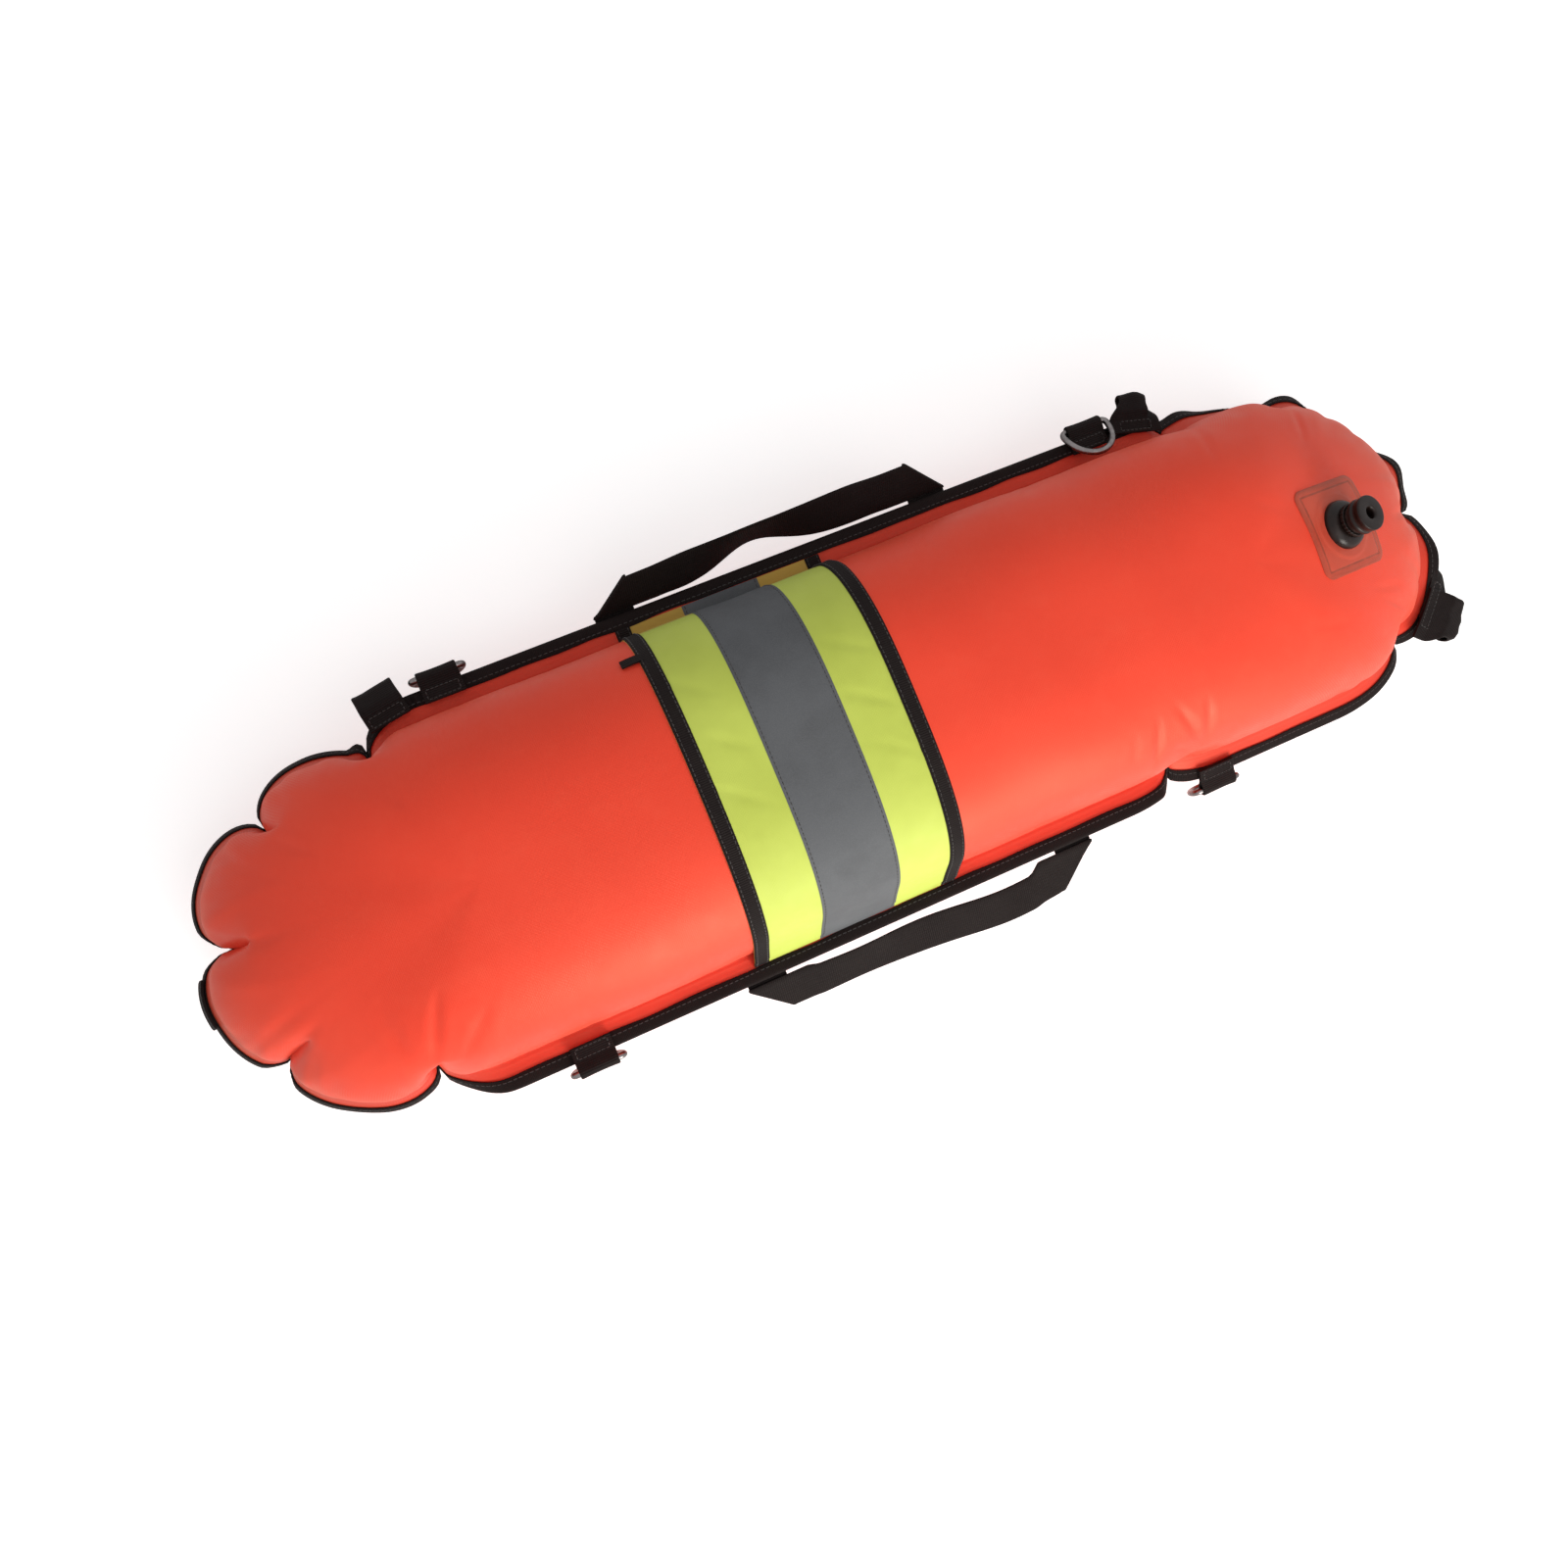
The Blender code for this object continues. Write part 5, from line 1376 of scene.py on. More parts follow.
    def build_tail(self) -> None:
        """Makes the loose folded end of the left trim."""
        box_low, box_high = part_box("trim_tail")
        strip = self.strip(box_low[0] - 0.001, self.left + 0.003, 0.001)
        middle = (box_low[1] + box_high[1]) / 2
        centre = strip.points.shape[1] // 2
        row = int(np.argmin(np.abs(strip.points[:len(strip.points) // 2, centre, 1] - middle)))
        rows = slice(row - 1, row + 2)
        part = Patch(strip.points[rows], strip.normals[rows], strip.cut[rows])
        curl = self.tail_curl * np.sin(np.linspace(0.4, 2.4, part.points.shape[1]))
        lift = np.broadcast_to(self.form.cloth + self.tail_lift + curl, part.points.shape[:2])
        tail = part.shell("left_trim_tail", lift, lift + self.tail_thickness, WEBBING)
        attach(tail, "bag")
        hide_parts("trim_tail")


@dataclass(frozen=True)
class GripShape:
    """How a handle hangs: the tilt of its folded ends, and the twist and bow of its grip."""

    left_tilt: float
    right_tilt: float
    twist: float
    twist_at: float
    twist_spread: float
    bow: float = 0.0
    bow_at: float = 0.8
    bow_spread: float = 0.22
    pivot: float = 0.5
    ease: float = 0.030

    def tilt(self, share: np.ndarray) -> np.ndarray:
        """Gives the strap's tilt in radians, from its left end to its right one."""
        return np.radians(self.left_tilt + (self.right_tilt - self.left_tilt) * share)

    def turn(self, share: np.ndarray) -> np.ndarray:
        """Gives the grip's further twist in radians."""
        return np.radians(self.twist) * bell(share - self.twist_at, self.twist_spread)

    def push(self, share: np.ndarray) -> np.ndarray:
        """Gives how far the grip bows away from the bag."""
        return self.bow * bell(share - self.bow_at, self.bow_spread)


@dataclass
class CarryHandle:
    """A handle of webbing: two ends sewn under the rim, folded at the corners, and a free grip."""

    form: BagForm
    name: str
    side: Side
    grip: GripShape
    centre_x: float = -0.007
    half_span: float = 0.1055
    width: float = 0.025
    thickness: float = 0.0015
    sewn_length: float = 0.016
    hinge_y: float = 0.11905
    hinge_z: float = 0.07065
    hinge_reach: float = 0.002
    fold_gap: float = 0.0012
    fold_bend: float = 0.55
    columns: tuple[float, ...] = (-1.0, -0.93, -0.7, -0.35, 0.0, 0.35, 0.7, 0.93, 1.0)
    # How far out from the hinge line the strap takes up its tilt and its bow
    tilt_reach: float = 0.006
    push_reach: float = 0.020
    push_ease: float = 0.030
    grip_out: float = 0.0012
    ripple: float = 0.0005
    seam: Seam = Seam(pitch=0.003)
    # The box of stitches: its distance inside the sewn end, on the sides and at front and back
    seam_inset: tuple[float, ...] = (3 * MM, 2.5 * MM)
    seam_back: float = 0.5 * MM

    def flat_rows(self) -> tuple[np.ndarray, np.ndarray, np.ndarray]:
        """Folds the strap flat, as it would lie on a table, from its left end to its middle.

        Returns:
            Grids of x, distance out from the hinge line, and height above the strap's own plane.
        """
        across = self.width / 2 * np.array(self.columns)
        fold_out = self.fold_gap + (across + self.width / 2)
        foot = -self.half_span + across
        bend = self.fold_bend * self.thickness
        rows = [(foot, -self.sewn_length + (fold_out + self.sewn_length) * share, 0.0)
                for share in np.linspace(0.0, 1.0, 15)]
        for turn in np.linspace(0.0, math.pi, 7)[1:-1]:
            slant = bend * math.sin(turn) * math.sqrt(0.5)
            rows.append((foot - slant, fold_out + slant, bend * (1 - math.cos(turn))))
        rows += [(foot - foot * share, fold_out, 2 * bend) for share in np.linspace(0.0, 1.0, 46) ** 1.15]
        return tuple(np.array([np.broadcast_to(row[k], across.shape) for row in rows]) for k in range(3))

    def build(self) -> None:
        """Makes the strap, twists its grip and tilts it where it leaves the binding."""
        x, out, up = self.flat_rows()
        x = np.concatenate([x, -x[-2::-1]])
        out, up = (np.concatenate([half, half[-2::-1]]) for half in (out, up))
        share = np.clip(x / (2 * (self.half_span - self.width / 2)) + 0.5, 0.0, 1.0)
        free = smooth_share((self.half_span - self.width - np.abs(x)) / self.grip.ease)
        lean = self.grip.tilt(share) * np.maximum(smooth_share(out / self.tilt_reach), free)
        from_end = self.half_span + self.width / 2 - np.abs(x)
        near_end = smooth_share(out / self.push_reach) * smooth_share(from_end / self.push_ease)
        pivot = self.fold_gap + self.width * self.grip.pivot
        turn = self.grip.turn(share) * free
        from_pivot = out - pivot
        y_flat = pivot + from_pivot * np.cos(turn) - up * np.sin(turn)
        y_flat = y_flat + self.grip_out * free + self.grip.push(share) * np.maximum(free, near_end)
        z_flat = from_pivot * np.sin(turn) + up * np.cos(turn)
        y = y_flat * np.cos(lean) - z_flat * np.sin(lean)
        z = y_flat * np.sin(lean) + z_flat * np.cos(lean)
        ripple = self.ripple * np.sin(x * 95 + out * 60 + self.side.value) * free
        points = np.stack([self.centre_x + x, self.side.value * (self.hinge_y + y),
                           self.hinge_z + z + ripple], axis=-1)
        patch = strap_patch(points, np.linspace(0, self.width, len(self.columns)))
        thick = patch.thinned(self.thickness / 2)
        strap = patch.shell(f"{self.name}_strap", -thick, thick, WEBBING)
        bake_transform(strap)
        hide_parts(self.name, f"{self.name}_sewn_end_left", f"{self.name}_sewn_end_right")
        for which, way in (("left", -1), ("right", 1)):
            self.sew_box(f"{self.name}_box_seam_{which}", way)

    def sew_box(self, name: str, way: int) -> None:
        """Sews one end under the rim with a box of stitches."""
        centre = (self.centre_x + way * self.half_span,
                  self.side.value * (self.hinge_y - self.sewn_length / 2 - self.seam_back),
                  self.hinge_z - self.thickness / 2)
        line = box_path(centre, self.width / 2 - self.seam_inset[0],
                        self.sewn_length / 2 - self.seam_inset[1], 1 * MM)
        self.seam.sew(name, line, np.tile((0.0, 0.0, -1.0), (len(line), 1)))


@dataclass
class WebbingLoop:
    """A strap folded into a loop on the rim: two sewn plies and an eye beyond the edge."""

    form: BagForm
    name: str
    node: str
    run: float
    width: float
    reach: float
    opening: float
    slot: float = 0.0
    turn: float = 0.0
    tail: float = 0.0095
    thickness: float = 0.0015
    crumple: float = 0.0
    splay: float = 0.0
    gather: float = 0.03
    droop: float = 0.0
    rim_curve: float = 0.0
    rounded: float = 0.0
    bulge: float = 0.05
    columns: tuple[float, ...] = (-1.0, -0.94, -0.75, -0.45, -0.15, 0.15, 0.45, 0.75, 0.94, 1.0)
    seed: int = 3
    seam: Seam = Seam(pitch=0.0028, thread=0.0006)
    # The box of stitches: its distance inside the sewn plies, on the sides and at front and back
    seam_inset: tuple[float, ...] = (2.6 * MM, 1.8 * MM)
    seam_back: float = 0.4 * MM

    def section(self) -> np.ndarray:
        """Gives the middle line of the folded strap, as distances out and heights."""
        ply, radius = self.thickness, self.opening / 2 + self.thickness / 2
        far = self.reach - self.opening / 2 - self.thickness
        near = far - self.slot

        def arc(centre: float, start: float, stop: float, steps: int) -> list[tuple[float, float]]:
            """Gives points on an arc of the eye."""
            angles = np.radians(np.linspace(start, stop, steps + 1))
            return [(centre + radius * math.cos(t), ply + radius * math.sin(t)) for t in angles]

        line = [(-self.tail, 1.5 * ply), (-1 * MM, 1.5 * ply), *arc(near, 118, 90, 3), *arc(far, 90, -90, 12),
                *arc(near, -90, -118, 3), (-1 * MM, 0.5 * ply), (-self.tail, 0.5 * ply)]
        return even_path(line, 0.6 * MM, 3)

    def build(self) -> None:
        """Makes the loop and the box of stitches that holds it."""
        place = self.form.rim_place(self.run, self.turn, RimBinding(self.form).face + GAP)
        section = self.section()
        out, up = section[:, :1], section[:, 1:]
        columns = np.array(self.columns)[None]
        across = self.width / 2 * columns
        loose, free = smooth_share(out / (self.reach * 0.7)), smooth_share(out / self.reach)
        rng = np.random.default_rng(self.seed)
        waves = sum(rng.uniform(0.4, 1.0) * np.sin(across * rng.uniform(120, 420)
                                                   + out * rng.uniform(-200, 200) + rng.uniform(0, 6))
                    for _ in range(4))
        ply = np.linspace(1.0, -1.0, len(section))[:, None]
        x = across * (1 - self.gather * loose) + self.splay * ply * (1 - free)
        y = out * (1 - self.bulge * free * (1 - columns**2)) + self.crumple * 0.5 * waves * loose
        y = y - self.rim_curve * x * x - self.rounded * np.abs(columns) ** 3 * free
        z = up + (self.crumple * waves + 0.1 * MM * np.sin(across * 300)) * loose
        droop = math.radians(self.droop)
        y = y - (1 - math.cos(droop)) * np.maximum(out, 0.0)
        z = z - math.sin(droop) * np.maximum(out, 0.0)
        basis = np.array(place)
        turn, move = basis[:3, :3].T, basis[:3, 3]
        patch = strap_patch(np.stack([x, y, z], axis=-1) @ turn + move, across + self.width / 2)
        thick = patch.thinned(0.48 * self.thickness)
        loop = patch.shell(self.name, -thick, thick, WEBBING)
        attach(loop, "bag")
        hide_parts(self.node)
        line = box_path((0.0, -self.tail / 2 - self.seam_back, 2 * self.thickness),
                        self.width / 2 - self.seam_inset[0], self.tail / 2 - self.seam_inset[1], 0.8 * MM)
        self.seam.sew(f"{self.name}_seam", line @ turn + move, np.tile(basis[:3, 2], (len(line), 1)))


@dataclass
class WireRing:
    """A welded D ring: a straight bar in its keeper and a round bow."""

    name: str
    body: str
    place: Matrix
    inside: float = 0.0275
    height: float = 0.024
    wire: float = 0.004
    step: float = 0.0009
    sides: int = 20

    def path(self) -> np.ndarray:
        """Gives the ring's middle line in its own plane, as x and z."""
        half = (self.inside + self.wire) / 2
        corner = self.wire * 0.65
        dip = 0.3 * corner
        line = [(-half + corner, 0.0), (0.0, 0.0), (half - corner, 0.0), (half - dip, -dip)]
        line += [(half * math.cos(a), -corner - (self.height - corner) * math.sin(a))
                 for a in np.linspace(0, math.pi, 49)]
        line += [(-half + dip, -dip), (-half + corner, 0.0)]
        return even_path(line, self.step)[:-1]

    def build(self) -> None:
        """Makes the wire with its weld bead."""
        path = self.path()
        for _ in range(3):
            path = (np.roll(path, 1, axis=0) + 2 * path + np.roll(path, -1, axis=0)) / 4
        along = unit(np.roll(path, -1, axis=0) - np.roll(path, 1, axis=0))
        outward = np.stack([along[:, 1], -along[:, 0]], axis=1)
        bead = 1 + 0.06 * bell(path[:, 0], 1.6 * MM) * (path[:, 1] > -self.wire / 2)
        turns = np.linspace(0, math.tau, self.sides, endpoint=False)
        radius = self.wire / 2 * bead[:, None]
        x = path[:, :1] + outward[:, :1] * np.cos(turns) * radius
        z = path[:, 1:] + outward[:, 1:] * np.cos(turns) * radius
        points = np.stack([x, np.broadcast_to(np.sin(turns), x.shape) * radius, z], axis=-1).reshape(-1, 3)
        i, k = np.indices(x.shape)
        cut = np.stack([k * self.wire * math.pi / self.sides, i * self.step], axis=-1).reshape(-1, 2)
        ring = make_mesh(f"{self.name}_wire", points, tube_faces(*x.shape), STEEL, cut, self.place,
                         sharp=80.0)
        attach(ring, self.body)
        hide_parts(self.name)


@dataclass
class RingStation:
    """A D ring and the short loop of webbing that keeps it on the rim."""

    form: BagForm
    name: str
    x: float
    side: Side
    lean: float = 0.0
    wire: float = 0.004
    fit: float = 0.0003
    webbing: float = 0.0015
    keeper_width: float = 0.025

    def build(self) -> None:
        """Makes the keeper and its ring."""
        opening = self.wire + 2 * self.fit
        reach = 2 * self.wire + self.webbing
        run = float(self.form.run_at_x(self.x, self.side))
        WebbingLoop(self.form, f"{self.name}_keeper_webbing", f"ring_keeper_{self.name}", run,
                    self.keeper_width, reach, opening, seed=7).build()
        lift = RimBinding(self.form).face + GAP
        eye = reach - opening / 2 - self.webbing
        bar = self.form.rim_place(run, 0.0, lift) @ Vector((0.0, eye, self.webbing))
        turn = Matrix.Rotation(math.radians(-self.side.value * self.lean), 4, "X")
        WireRing(f"d_ring_{self.name}", f"d_ring_{self.name}", Matrix.Translation(bar) @ turn).build()


@dataclass
class EndTab:
    """A short tab of webbing folded over the binding at the left tip."""

    form: BagForm
    angle: float = -2.0
    length: float = 0.027
    thickness: float = 0.0015
    # The tab's columns above and under the rim, and the fold round its edge
    upper_columns: tuple[float, ...] = (-0.007, -0.003)
    lower_columns: tuple[float, ...] = (-0.002, -0.0032)
    fold_place: float = -0.0012
    fold_push: float = 1.25
    seam_inset: float = 0.008
    seam: Seam = Seam(pitch=0.003, thread=0.0006)

    def build(self) -> None:
        """Makes the tab and its seam."""
        form = self.form
        binding = RimBinding(form)
        first = form.run_at_angle(self.angle, -1) - self.length / 2
        run = np.linspace(first, first + self.length, 19)
        weld, out, up, _ = form.rim_frames(run)
        edge = weld + out * form.rim_width
        lift = binding.face + GAP + self.thickness / 2
        turns = np.linspace(math.pi / 2, -math.pi / 2, 9)
        profile = [(x, lift) for x in (-binding.width, *self.upper_columns)]
        profile += [(self.fold_place + lift * self.fold_push * math.cos(t), lift * math.sin(t))
                    for t in turns]
        profile += [(x, -lift) for x in self.lower_columns]
        grid = np.stack([edge + out * x + up * z for x, z in profile])
        patch = strap_patch(grid, run - first)
        thick = patch.thinned(self.thickness / 2)
        tab = patch.shell("left_end_tab_webbing", -thick, thick, WEBBING)
        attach(tab, "bag")
        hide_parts("end_tab")
        line = (edge - out * self.seam_inset + up * (lift + self.thickness / 2))[2:-2]
        self.seam.sew("left_end_tab_seam", line, up[2:-2])


@dataclass
class MouthValve:
    """The oral inflation valve on its welded patch."""

    seat: ValveSeat
    patch_side: float = 0.058
    patch_corner: float = 0.007
    patch_cloth: float = 0.0006
    flange_radius: float = 0.021
    tube_radius: float = 0.0082
    bore_radius: float = 0.0062
    tube_depth: float = 0.0075
    dome_radius: float = 0.0155
    dome_height: float = 0.0078
    neck_radius: float = 0.0090
    neck_bore: float = 0.0078
    neck_height: float = 0.0158
    spring_ledge: float = 0.0040
    brim: float = 1.6 * MM
    underside: float = -1.2 * MM
    ring_radius: float = 0.0106
    ring_height: float = 0.0026
    ring_ribs: int = 28
    rib_depth: float = 0.6 * MM
    cap_radius: float = 0.0110
    cap_wall: float = 0.0016
    cap_top: float = 0.0225
    cap_roof: float = 0.0025
    cap_bore: float = 0.0034
    cap_lip: tuple[float, ...] = (0.8 * MM, 1.4 * MM)
    # The cap's waist: its depth, the bevel's two heights over the foot, and two under the top
    waist_depth: float = 0.7 * MM
    waist_foot: tuple[float, ...] = (2.2 * MM, 3.2 * MM)
    waist_top: tuple[float, ...] = (3.4 * MM, 2.4 * MM)
    stem_radius: float = 0.0048
    travel: float = 0.0030
    rounding: float = 0.5 * MM
    cap_rounding: float = 0.9 * MM
    steps: int = 96
    patch_steps: int = 128
    patch_rings: int = 22
    patch_lift: float = 0.00012
    flange_rise: float = 0.0005
    groove_depth: float = 0.0003
    # The weld grooves inside the patch's edge: inset, width and share of the depth
    grooves: tuple[Place, ...] = ((0.0046, 0.00055, 1.0), (0.0016, 0.0005, 0.6))

    def soften(self, profile: Sequence[tuple[float, float]], radius: float) -> list[tuple[float, float]]:
        """Rounds the corners of a turned profile.

        Args:
            profile: The closed profile's corners, as radius and height.
            radius: How far from a corner its rounding starts.

        Returns:
            The rounded profile.
        """
        points = [np.array(p) for p in profile]
        rounded = []
        for before, here, after in zip(points[-1:] + points, points, points[1:] + points[:1]):
            legs = [before - here, after - here]
            sizes = [min(radius, float(np.linalg.norm(leg)) * 0.45) for leg in legs]
            start, stop = (here + unit(leg) * size for leg, size in zip(legs, sizes))
            if float(np.dot(unit(legs[0]), unit(legs[1]))) < -0.985:
                rounded.append(tuple(here))
                continue
            for t in (0.0, 0.33, 0.67, 1.0):
                rounded.append(tuple(start * (1 - t) ** 2 + here * 2 * t * (1 - t) + stop * t**2))
        return rounded

    def turned(self, name: str, profile: Sequence[tuple[float, float]], finish: Finish, body: str, node: str,
               radius_at: Callable[[np.ndarray, np.ndarray, np.ndarray], np.ndarray] | None = None
               ) -> bpy.types.Object:
        """Turns a closed profile round the valve's axis.

        Args:
            name: The piece's name.
            profile: Radius and height of its corners.
            finish: What it is made of.
            body: The body it rides on.
            node: The node it stands for.
            radius_at: Changes the radius by turn and height, for ribs.

        Returns:
            The turned piece.
        """
        radius, height = np.array(profile).T
        turns = np.linspace(0, math.tau, self.steps, endpoint=False)
        reach = np.broadcast_to(radius, (self.steps, len(radius)))
        if radius_at is not None:
            reach = radius_at(reach, turns[:, None], height[None])
        points = np.stack([reach * np.cos(turns)[:, None], reach * np.sin(turns)[:, None],
                           np.broadcast_to(height, reach.shape)], axis=-1).reshape(-1, 3)
        made = make_mesh(name, points, tube_faces(self.steps, len(radius)), finish, None, self.seat.place,
                         sharp=42.0)
        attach(made, body)
        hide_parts(node)
        return made

    def build_patch(self, skin: bpy.types.Object) -> None:
        """Lays the welded square of cloth on the top panel.

        Args:
            skin: The top panel.
        """
        mesh = skin.data
        tree = BVHTree.FromPolygons([v.co.copy() for v in mesh.vertices],
                                    [tuple(p.vertices) for p in mesh.polygons])
        turns = np.linspace(0, math.tau, self.patch_steps, endpoint=False)
        direction = np.stack([np.cos(turns), np.sin(turns)], axis=-1)
        square = direction / np.max(np.abs(direction), axis=1, keepdims=True) * self.patch_side / 2
        half = self.patch_side / 2 - self.patch_corner
        core = np.clip(square, -half, half)
        away = square - core
        size = np.linalg.norm(away, axis=1, keepdims=True)
        outline = core + np.where(size > 1e-9, away / np.maximum(size, 1e-9) * self.patch_corner, away)
        edge = np.linalg.norm(outline, axis=1)
        inner = self.tube_radius + GAP
        basis = np.array(self.seat.place)
        points, lifts = [], []
        for share in np.linspace(0, 1, self.patch_rings) ** 0.8:
            radius = inner + (edge - inner) * share
            groove = sum(depth * bell(edge - radius - at, wide) for at, wide, depth in self.grooves)
            flange = smooth_share((self.flange_radius + 1 * MM - radius) / (1.8 * MM))
            lifts.append(self.patch_lift - self.groove_depth * groove + self.flange_rise * flange)
            above = np.pad(direction * radius[:, None], ((0, 0), (0, 1)), constant_values=30 * MM)
            starts = above @ basis[:3, :3].T + basis[:3, 3]
            points.append([tuple(tree.ray_cast(Vector(start), -self.seat.axis)[0]) for start in starts])
        grid = np.array(points)
        normals = np.broadcast_to(np.array(self.seat.axis), grid.shape)
        cut = np.stack([(grid - np.array(self.seat.origin)) @ basis[:3, k] for k in (0, 1)], axis=-1)
        lift = np.array(lifts)
        thick = np.full(lift.shape, self.patch_cloth)
        thick[-1] *= 0.4
        sheet = Patch(grid, normals, cut, True).shell("valve_patch_cloth", lift, lift + thick, PATCH)
        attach(sheet, "bag")
        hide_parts("valve_patch")

    def build(self, skin: bpy.types.Object) -> None:
        """Makes the patch and the valve's visible pieces, and dresses the inner ones.

        Args:
            skin: The top panel.
        """
        self.build_patch(skin)
        dome = [(self.dome_radius * math.cos(a) + self.neck_radius * (1 - math.cos(a)),
                 self.brim + (self.dome_height - self.brim) * math.sin(a))
                for a in np.radians(np.linspace(0, 90, 13))]
        profile = [(self.tube_radius, -self.tube_depth), (self.tube_radius, self.underside),
                   (self.dome_radius, self.underside), *dome,
                   (self.neck_radius, self.neck_height), (self.neck_bore, self.neck_height),
                   (self.neck_bore, self.spring_ledge), (self.bore_radius, self.spring_ledge),
                   (self.bore_radius, -self.tube_depth)]
        self.turned("valve_dome", self.soften(profile, self.rounding), PLASTIC, "bag", "valve_body")
        low = self.dome_height + GAP
        high = low + self.ring_height
        inner, outer = self.neck_radius + GAP, self.ring_radius
        ring = [(inner, low), (outer, low), (outer, high), (inner, high)]

        def ribbed(radius: np.ndarray, turn: np.ndarray, height: np.ndarray) -> np.ndarray:
            """Cuts the grip's ribs into the ring's outer face."""
            wave = 0.5 - 0.5 * np.cos(turn * self.ring_ribs)
            return np.where(radius > inner + self.rib_depth, radius - self.rib_depth * wave, radius)

        self.turned("valve_lock_ring", self.soften(ring, self.rounding), PLASTIC, "lock_ring", "lock_ring",
                    ribbed)
        start = high + self.travel + GAP
        roof, stem_end = self.cap_top - self.cap_roof, -self.tube_depth - GAP
        wall = self.cap_radius - self.cap_wall
        outer, top, waist = self.cap_radius, self.cap_top, self.cap_radius - self.waist_depth
        cap = [(wall, start), (outer, start), (outer, start + self.waist_foot[0]),
               (waist, start + self.waist_foot[1]), (waist, top - self.waist_top[0]),
               (outer, top - self.waist_top[1]), (outer, top),
               (self.cap_bore + self.cap_lip[0], top), (self.cap_bore, top - self.cap_lip[1]),
               (self.cap_bore, stem_end), (self.stem_radius, stem_end),
               (self.stem_radius, roof), (wall, roof)]
        self.turned("valve_mouthpiece", self.soften(cap, self.cap_rounding), PLASTIC, "mouthpiece",
                    "mouthpiece")
        for node, finish in (("valve_flange", PATCH), ("poppet", PLASTIC), ("poppet_seal", RUBBER)):
            materials = frame["nodes"][node].data.materials
            materials.clear()
            materials.append(finish.material())
        self.build_spring()

    def build_spring(self) -> None:
        """Makes the return spring as a fixed copy of the valve's spring part; it keeps its rest length when
        the mouthpiece is pushed in.
        """
        node = frame["nodes"]["valve_spring"]
        mesh = node.data.copy()
        mesh.transform(node.matrix_world)
        mesh.materials.clear()
        mesh.materials.append(STEEL.material())
        spring = add_object("valve_return_spring", mesh)
        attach(spring, "bag")
        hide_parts("valve_spring")
        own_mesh(spring)


@dataclass(frozen=True)
class Lamp:
    """One soft square lamp: where it hangs, what it faces, its side, its power and its light."""

    name: str
    place: Place
    aim: Place
    size: float
    watts: float
    colour: Colour

    def hang(self) -> None:
        """Hangs the lamp in the scene."""
        light = bpy.data.lights.new(self.name, "AREA")
        light.shape, light.size, light.energy, light.color = "SQUARE", self.size, self.watts, self.colour
        made = add_object(self.name, light)
        made.location = self.place
        made.rotation_euler = (Vector(self.aim) - Vector(self.place)).to_track_quat("-Z", "Y").to_euler()


@dataclass
class Studio:
    """A plain pale studio with soft light, and the camera of the photograph."""

    place: Place = (-0.20637, -0.01950, 0.87353)
    right: Place = (0.90725021, -0.38626759, 0.16641638)
    up: Place = (0.37862504, 0.92236304, 0.07674303)
    back: Place = (-0.18313966, -0.00661572, 0.98306465)
    lens: float = 30.764
    sensor: float = 36.0
    lamps: tuple[Lamp, ...] = (
        Lamp("near_window", (0.16, -1.24, 0.62), (0.0, 0.0, 0.08), 0.6, 16.0, (1.0, 0.97, 0.90)),
        Lamp("overhead_panel", (0.1, -0.75, 1.55), (0.0, 0.0, 0.0), 1.2, 5.5, (1.0, 1.0, 1.0)),
    )
    # The room's light on the buoy, and the brightness that the eye, metal and glass see
    room_light: float = 0.46
    room_seen: float = 1.0
    floor_half: float = 6.0
    floor_drop: float = 0.0004
    floor_glow: float = 0.52

    def build(self) -> None:
        """Makes the camera, the floor, the lamps and the world."""
        camera = add_object("studio_camera", bpy.data.cameras.new("studio_camera"))
        camera.data.lens = self.lens
        camera.data.sensor_width = self.sensor
        camera.data.clip_start = 0.01
        basis = Matrix((self.right, self.up, self.back)).transposed().to_4x4()
        camera.matrix_world = Matrix.Translation(self.place) @ basis
        bpy.context.scene.camera = camera
        self.build_floor()
        for lamp in self.lamps:
            lamp.hang()
        self.build_world()
        bpy.context.scene.view_settings.view_transform = "Standard"

    def build_world(self) -> None:
        """Lights the room evenly, and shows it brighter to the eye, to metal and to glass."""
        world = bpy.data.worlds.new("studio_world")
        bpy.context.scene.world = world
        graph = NodeGraph(world, "Background")
        rays = graph.add("ShaderNodeLightPath").outputs
        seen = graph.calc("MAXIMUM", rays["Is Camera Ray"], rays["Is Glossy Ray"])
        seen = graph.calc("MAXIMUM", seen, rays["Is Transmission Ray"])
        graph.set(Color=WHITE, Strength=graph.spread(seen, self.room_light, self.room_seen, 0.0, 1.0))

    def build_floor(self) -> None:
        """Lays the pale floor, which keeps the buoy's shadow."""
        mesh = bpy.data.meshes.new("studio_floor")
        corners = ((-1, -1), (1, -1), (1, 1), (-1, 1))
        mesh.from_pydata([(u * self.floor_half, v * self.floor_half, 0.0) for u, v in corners], [],
                         [(0, 1, 2, 3)])
        floor = add_object("studio_floor", mesh)
        floor.location.z = -self.floor_drop
        material = bpy.data.materials.new("pale_floor")
        graph = NodeGraph(material)
        seen = graph.add("ShaderNodeLightPath").outputs["Is Camera Ray"]
        grain = graph.spread(graph.noise(graph.place(), scale=3.0, detail=2.0), 0.0, 1.0)
        graph.set(Base_Color=graph.mix(grain, (0.90, 0.90, 0.90), (0.93, 0.93, 0.93)), Roughness=0.8,
                  Emission_Color=WHITE, Emission_Strength=graph.calc("MULTIPLY", seen, self.floor_glow))
        mesh.materials.append(material)


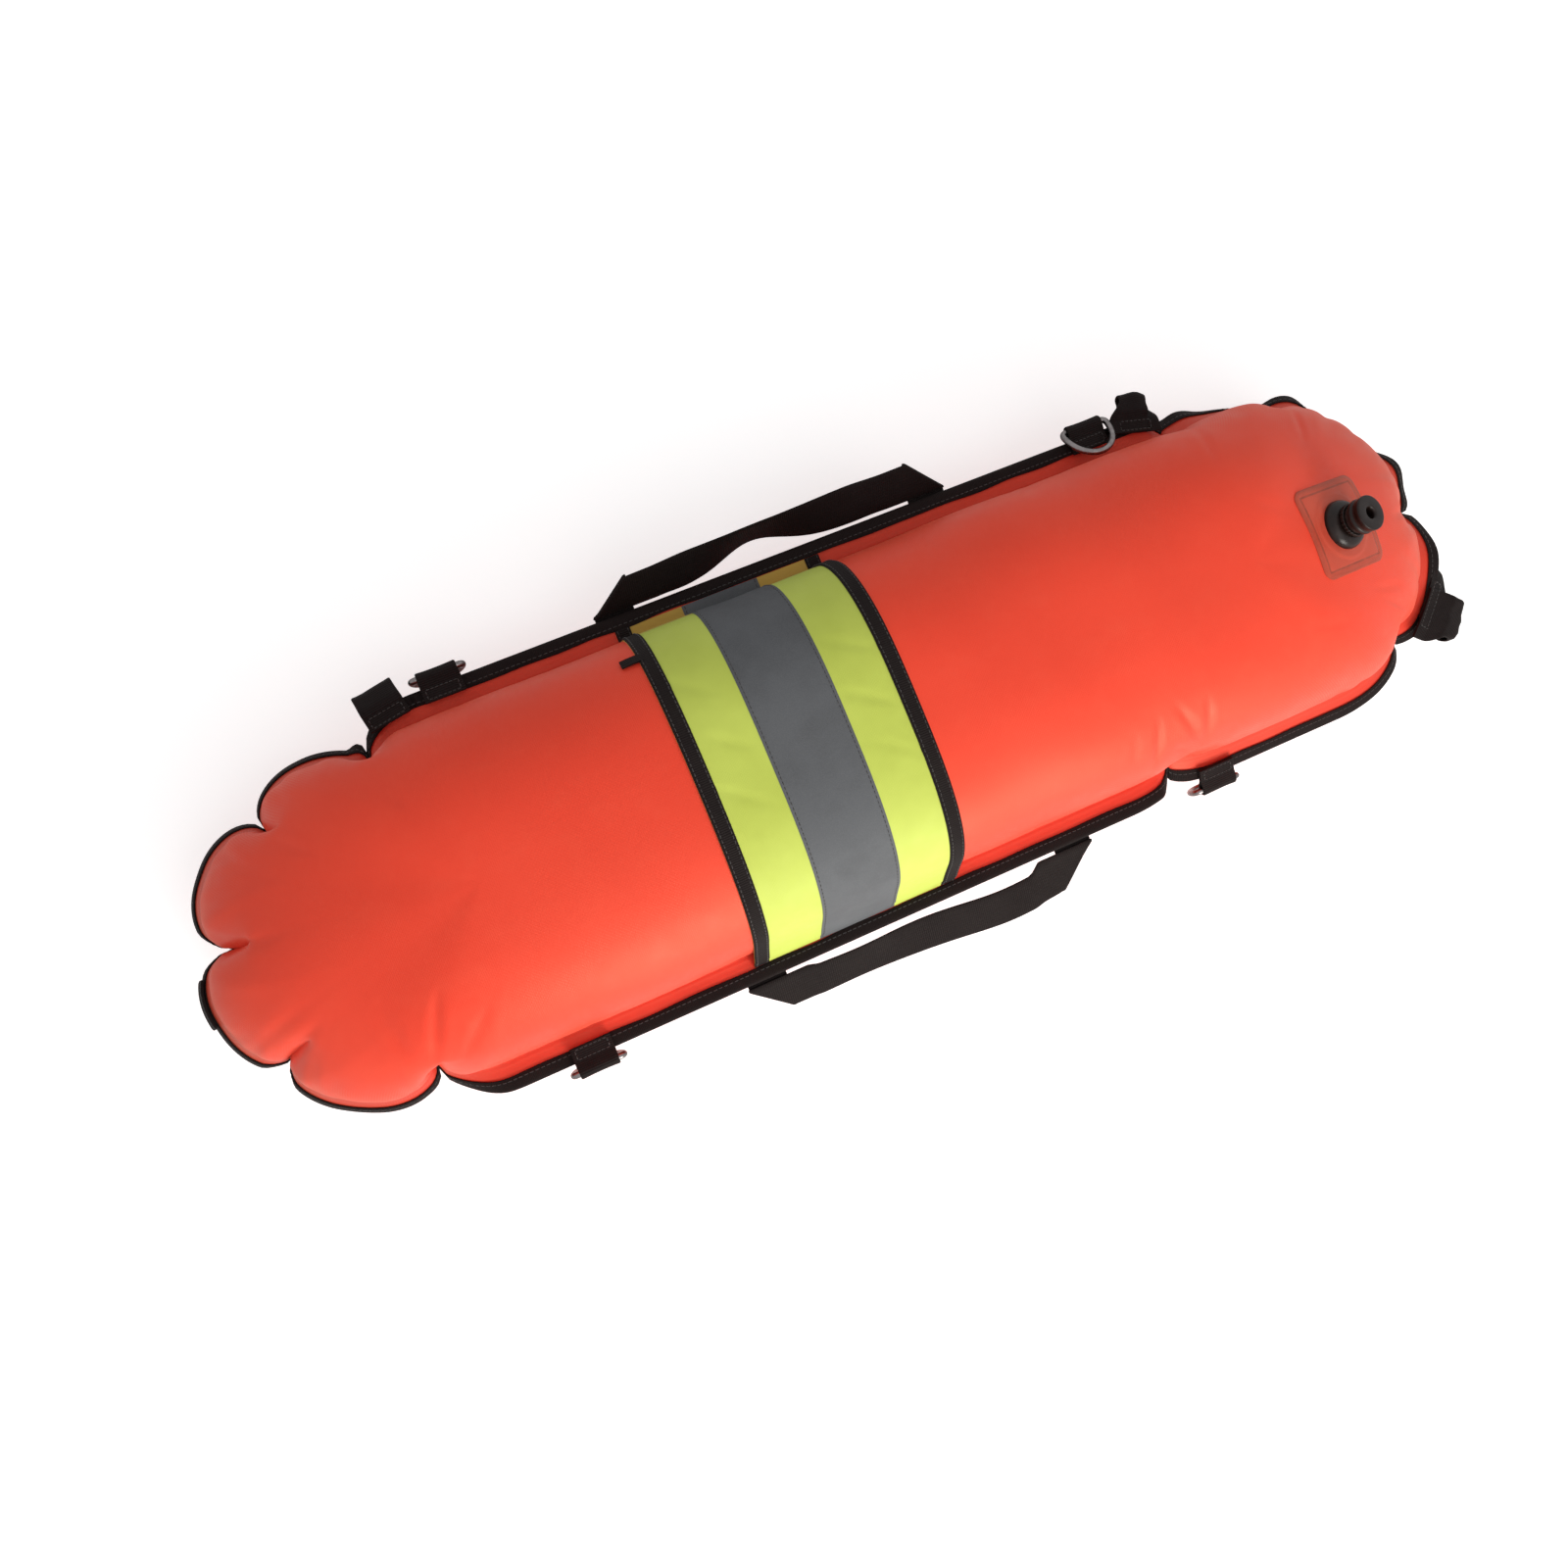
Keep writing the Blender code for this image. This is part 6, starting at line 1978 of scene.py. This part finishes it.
NEAR_GRIP = GripShape(left_tilt=-36.0, right_tilt=-28.0, twist=-8.0, twist_at=0.25, twist_spread=0.16,
                      bow=0.0066, ease=0.009)
FAR_GRIP = GripShape(left_tilt=50.0, right_tilt=37.0, twist=37.0, twist_at=0.45, twist_spread=0.17, pivot=1.0)


def main() -> None:
    """Builds each sub-assembly in order and reports it."""
    logging.basicConfig(level=logging.INFO, format="%(message)s")
    Studio().build()
    form = BagForm()
    seat = ValveSeat()
    skin = BagSkins(form).build(seat)
    LOG.info("built the skins")
    RimBinding(form).build()
    LOG.info("built the rim binding")
    ReflectiveBand(form).build()
    LOG.info("built the reflective band")
    CarryHandle(form, "near_handle", Side.NEAR, NEAR_GRIP).build()
    CarryHandle(form, "far_handle", Side.FAR, FAR_GRIP).build()
    LOG.info("built the handles")
    for name, x, side, lean in (("far_left", -0.2225, Side.FAR, 0.0),
                                ("far_right", 0.2115, Side.FAR, 120.0),
                                ("near_left", -0.223, Side.NEAR, 0.0),
                                ("near_right", 0.2085, Side.NEAR, 0.0)):
        RingStation(form, name, x, side, lean).build()
    LOG.info("built the ring stations")
    line_loop: dict[str, float] = {"width": 0.026, "reach": 0.017, "opening": 0.0052, "slot": 0.0078}
    WebbingLoop(form, "line_loop_left_webbing", "line_loop_left", float(form.run_at_x(-0.2585, Side.FAR)),
                **line_loop, turn=10.0, crumple=0.0003, droop=26.0).build()
    WebbingLoop(form, "line_loop_right_webbing", "line_loop_right", float(form.run_at_x(0.2465, Side.FAR)),
                **line_loop, turn=-14.0, crumple=0.0008, splay=-0.006, gather=0.28, rounded=0.0015).build()
    WebbingLoop(form, "tow_loop_webbing", "tow_loop", form.run_at_angle(-38.5, 1), width=0.038, reach=0.027,
                opening=0.007, slot=0.010, turn=-7.0, crumple=0.0005, splay=0.008, gather=0.24,
                rim_curve=3.0, rounded=0.006, seed=9).build()
    EndTab(form).build()
    LOG.info("built the loops and the tab")
    MouthValve(seat).build(skin)
    LOG.info("built the mouth valve")


if __name__ == "__main__":
    main()
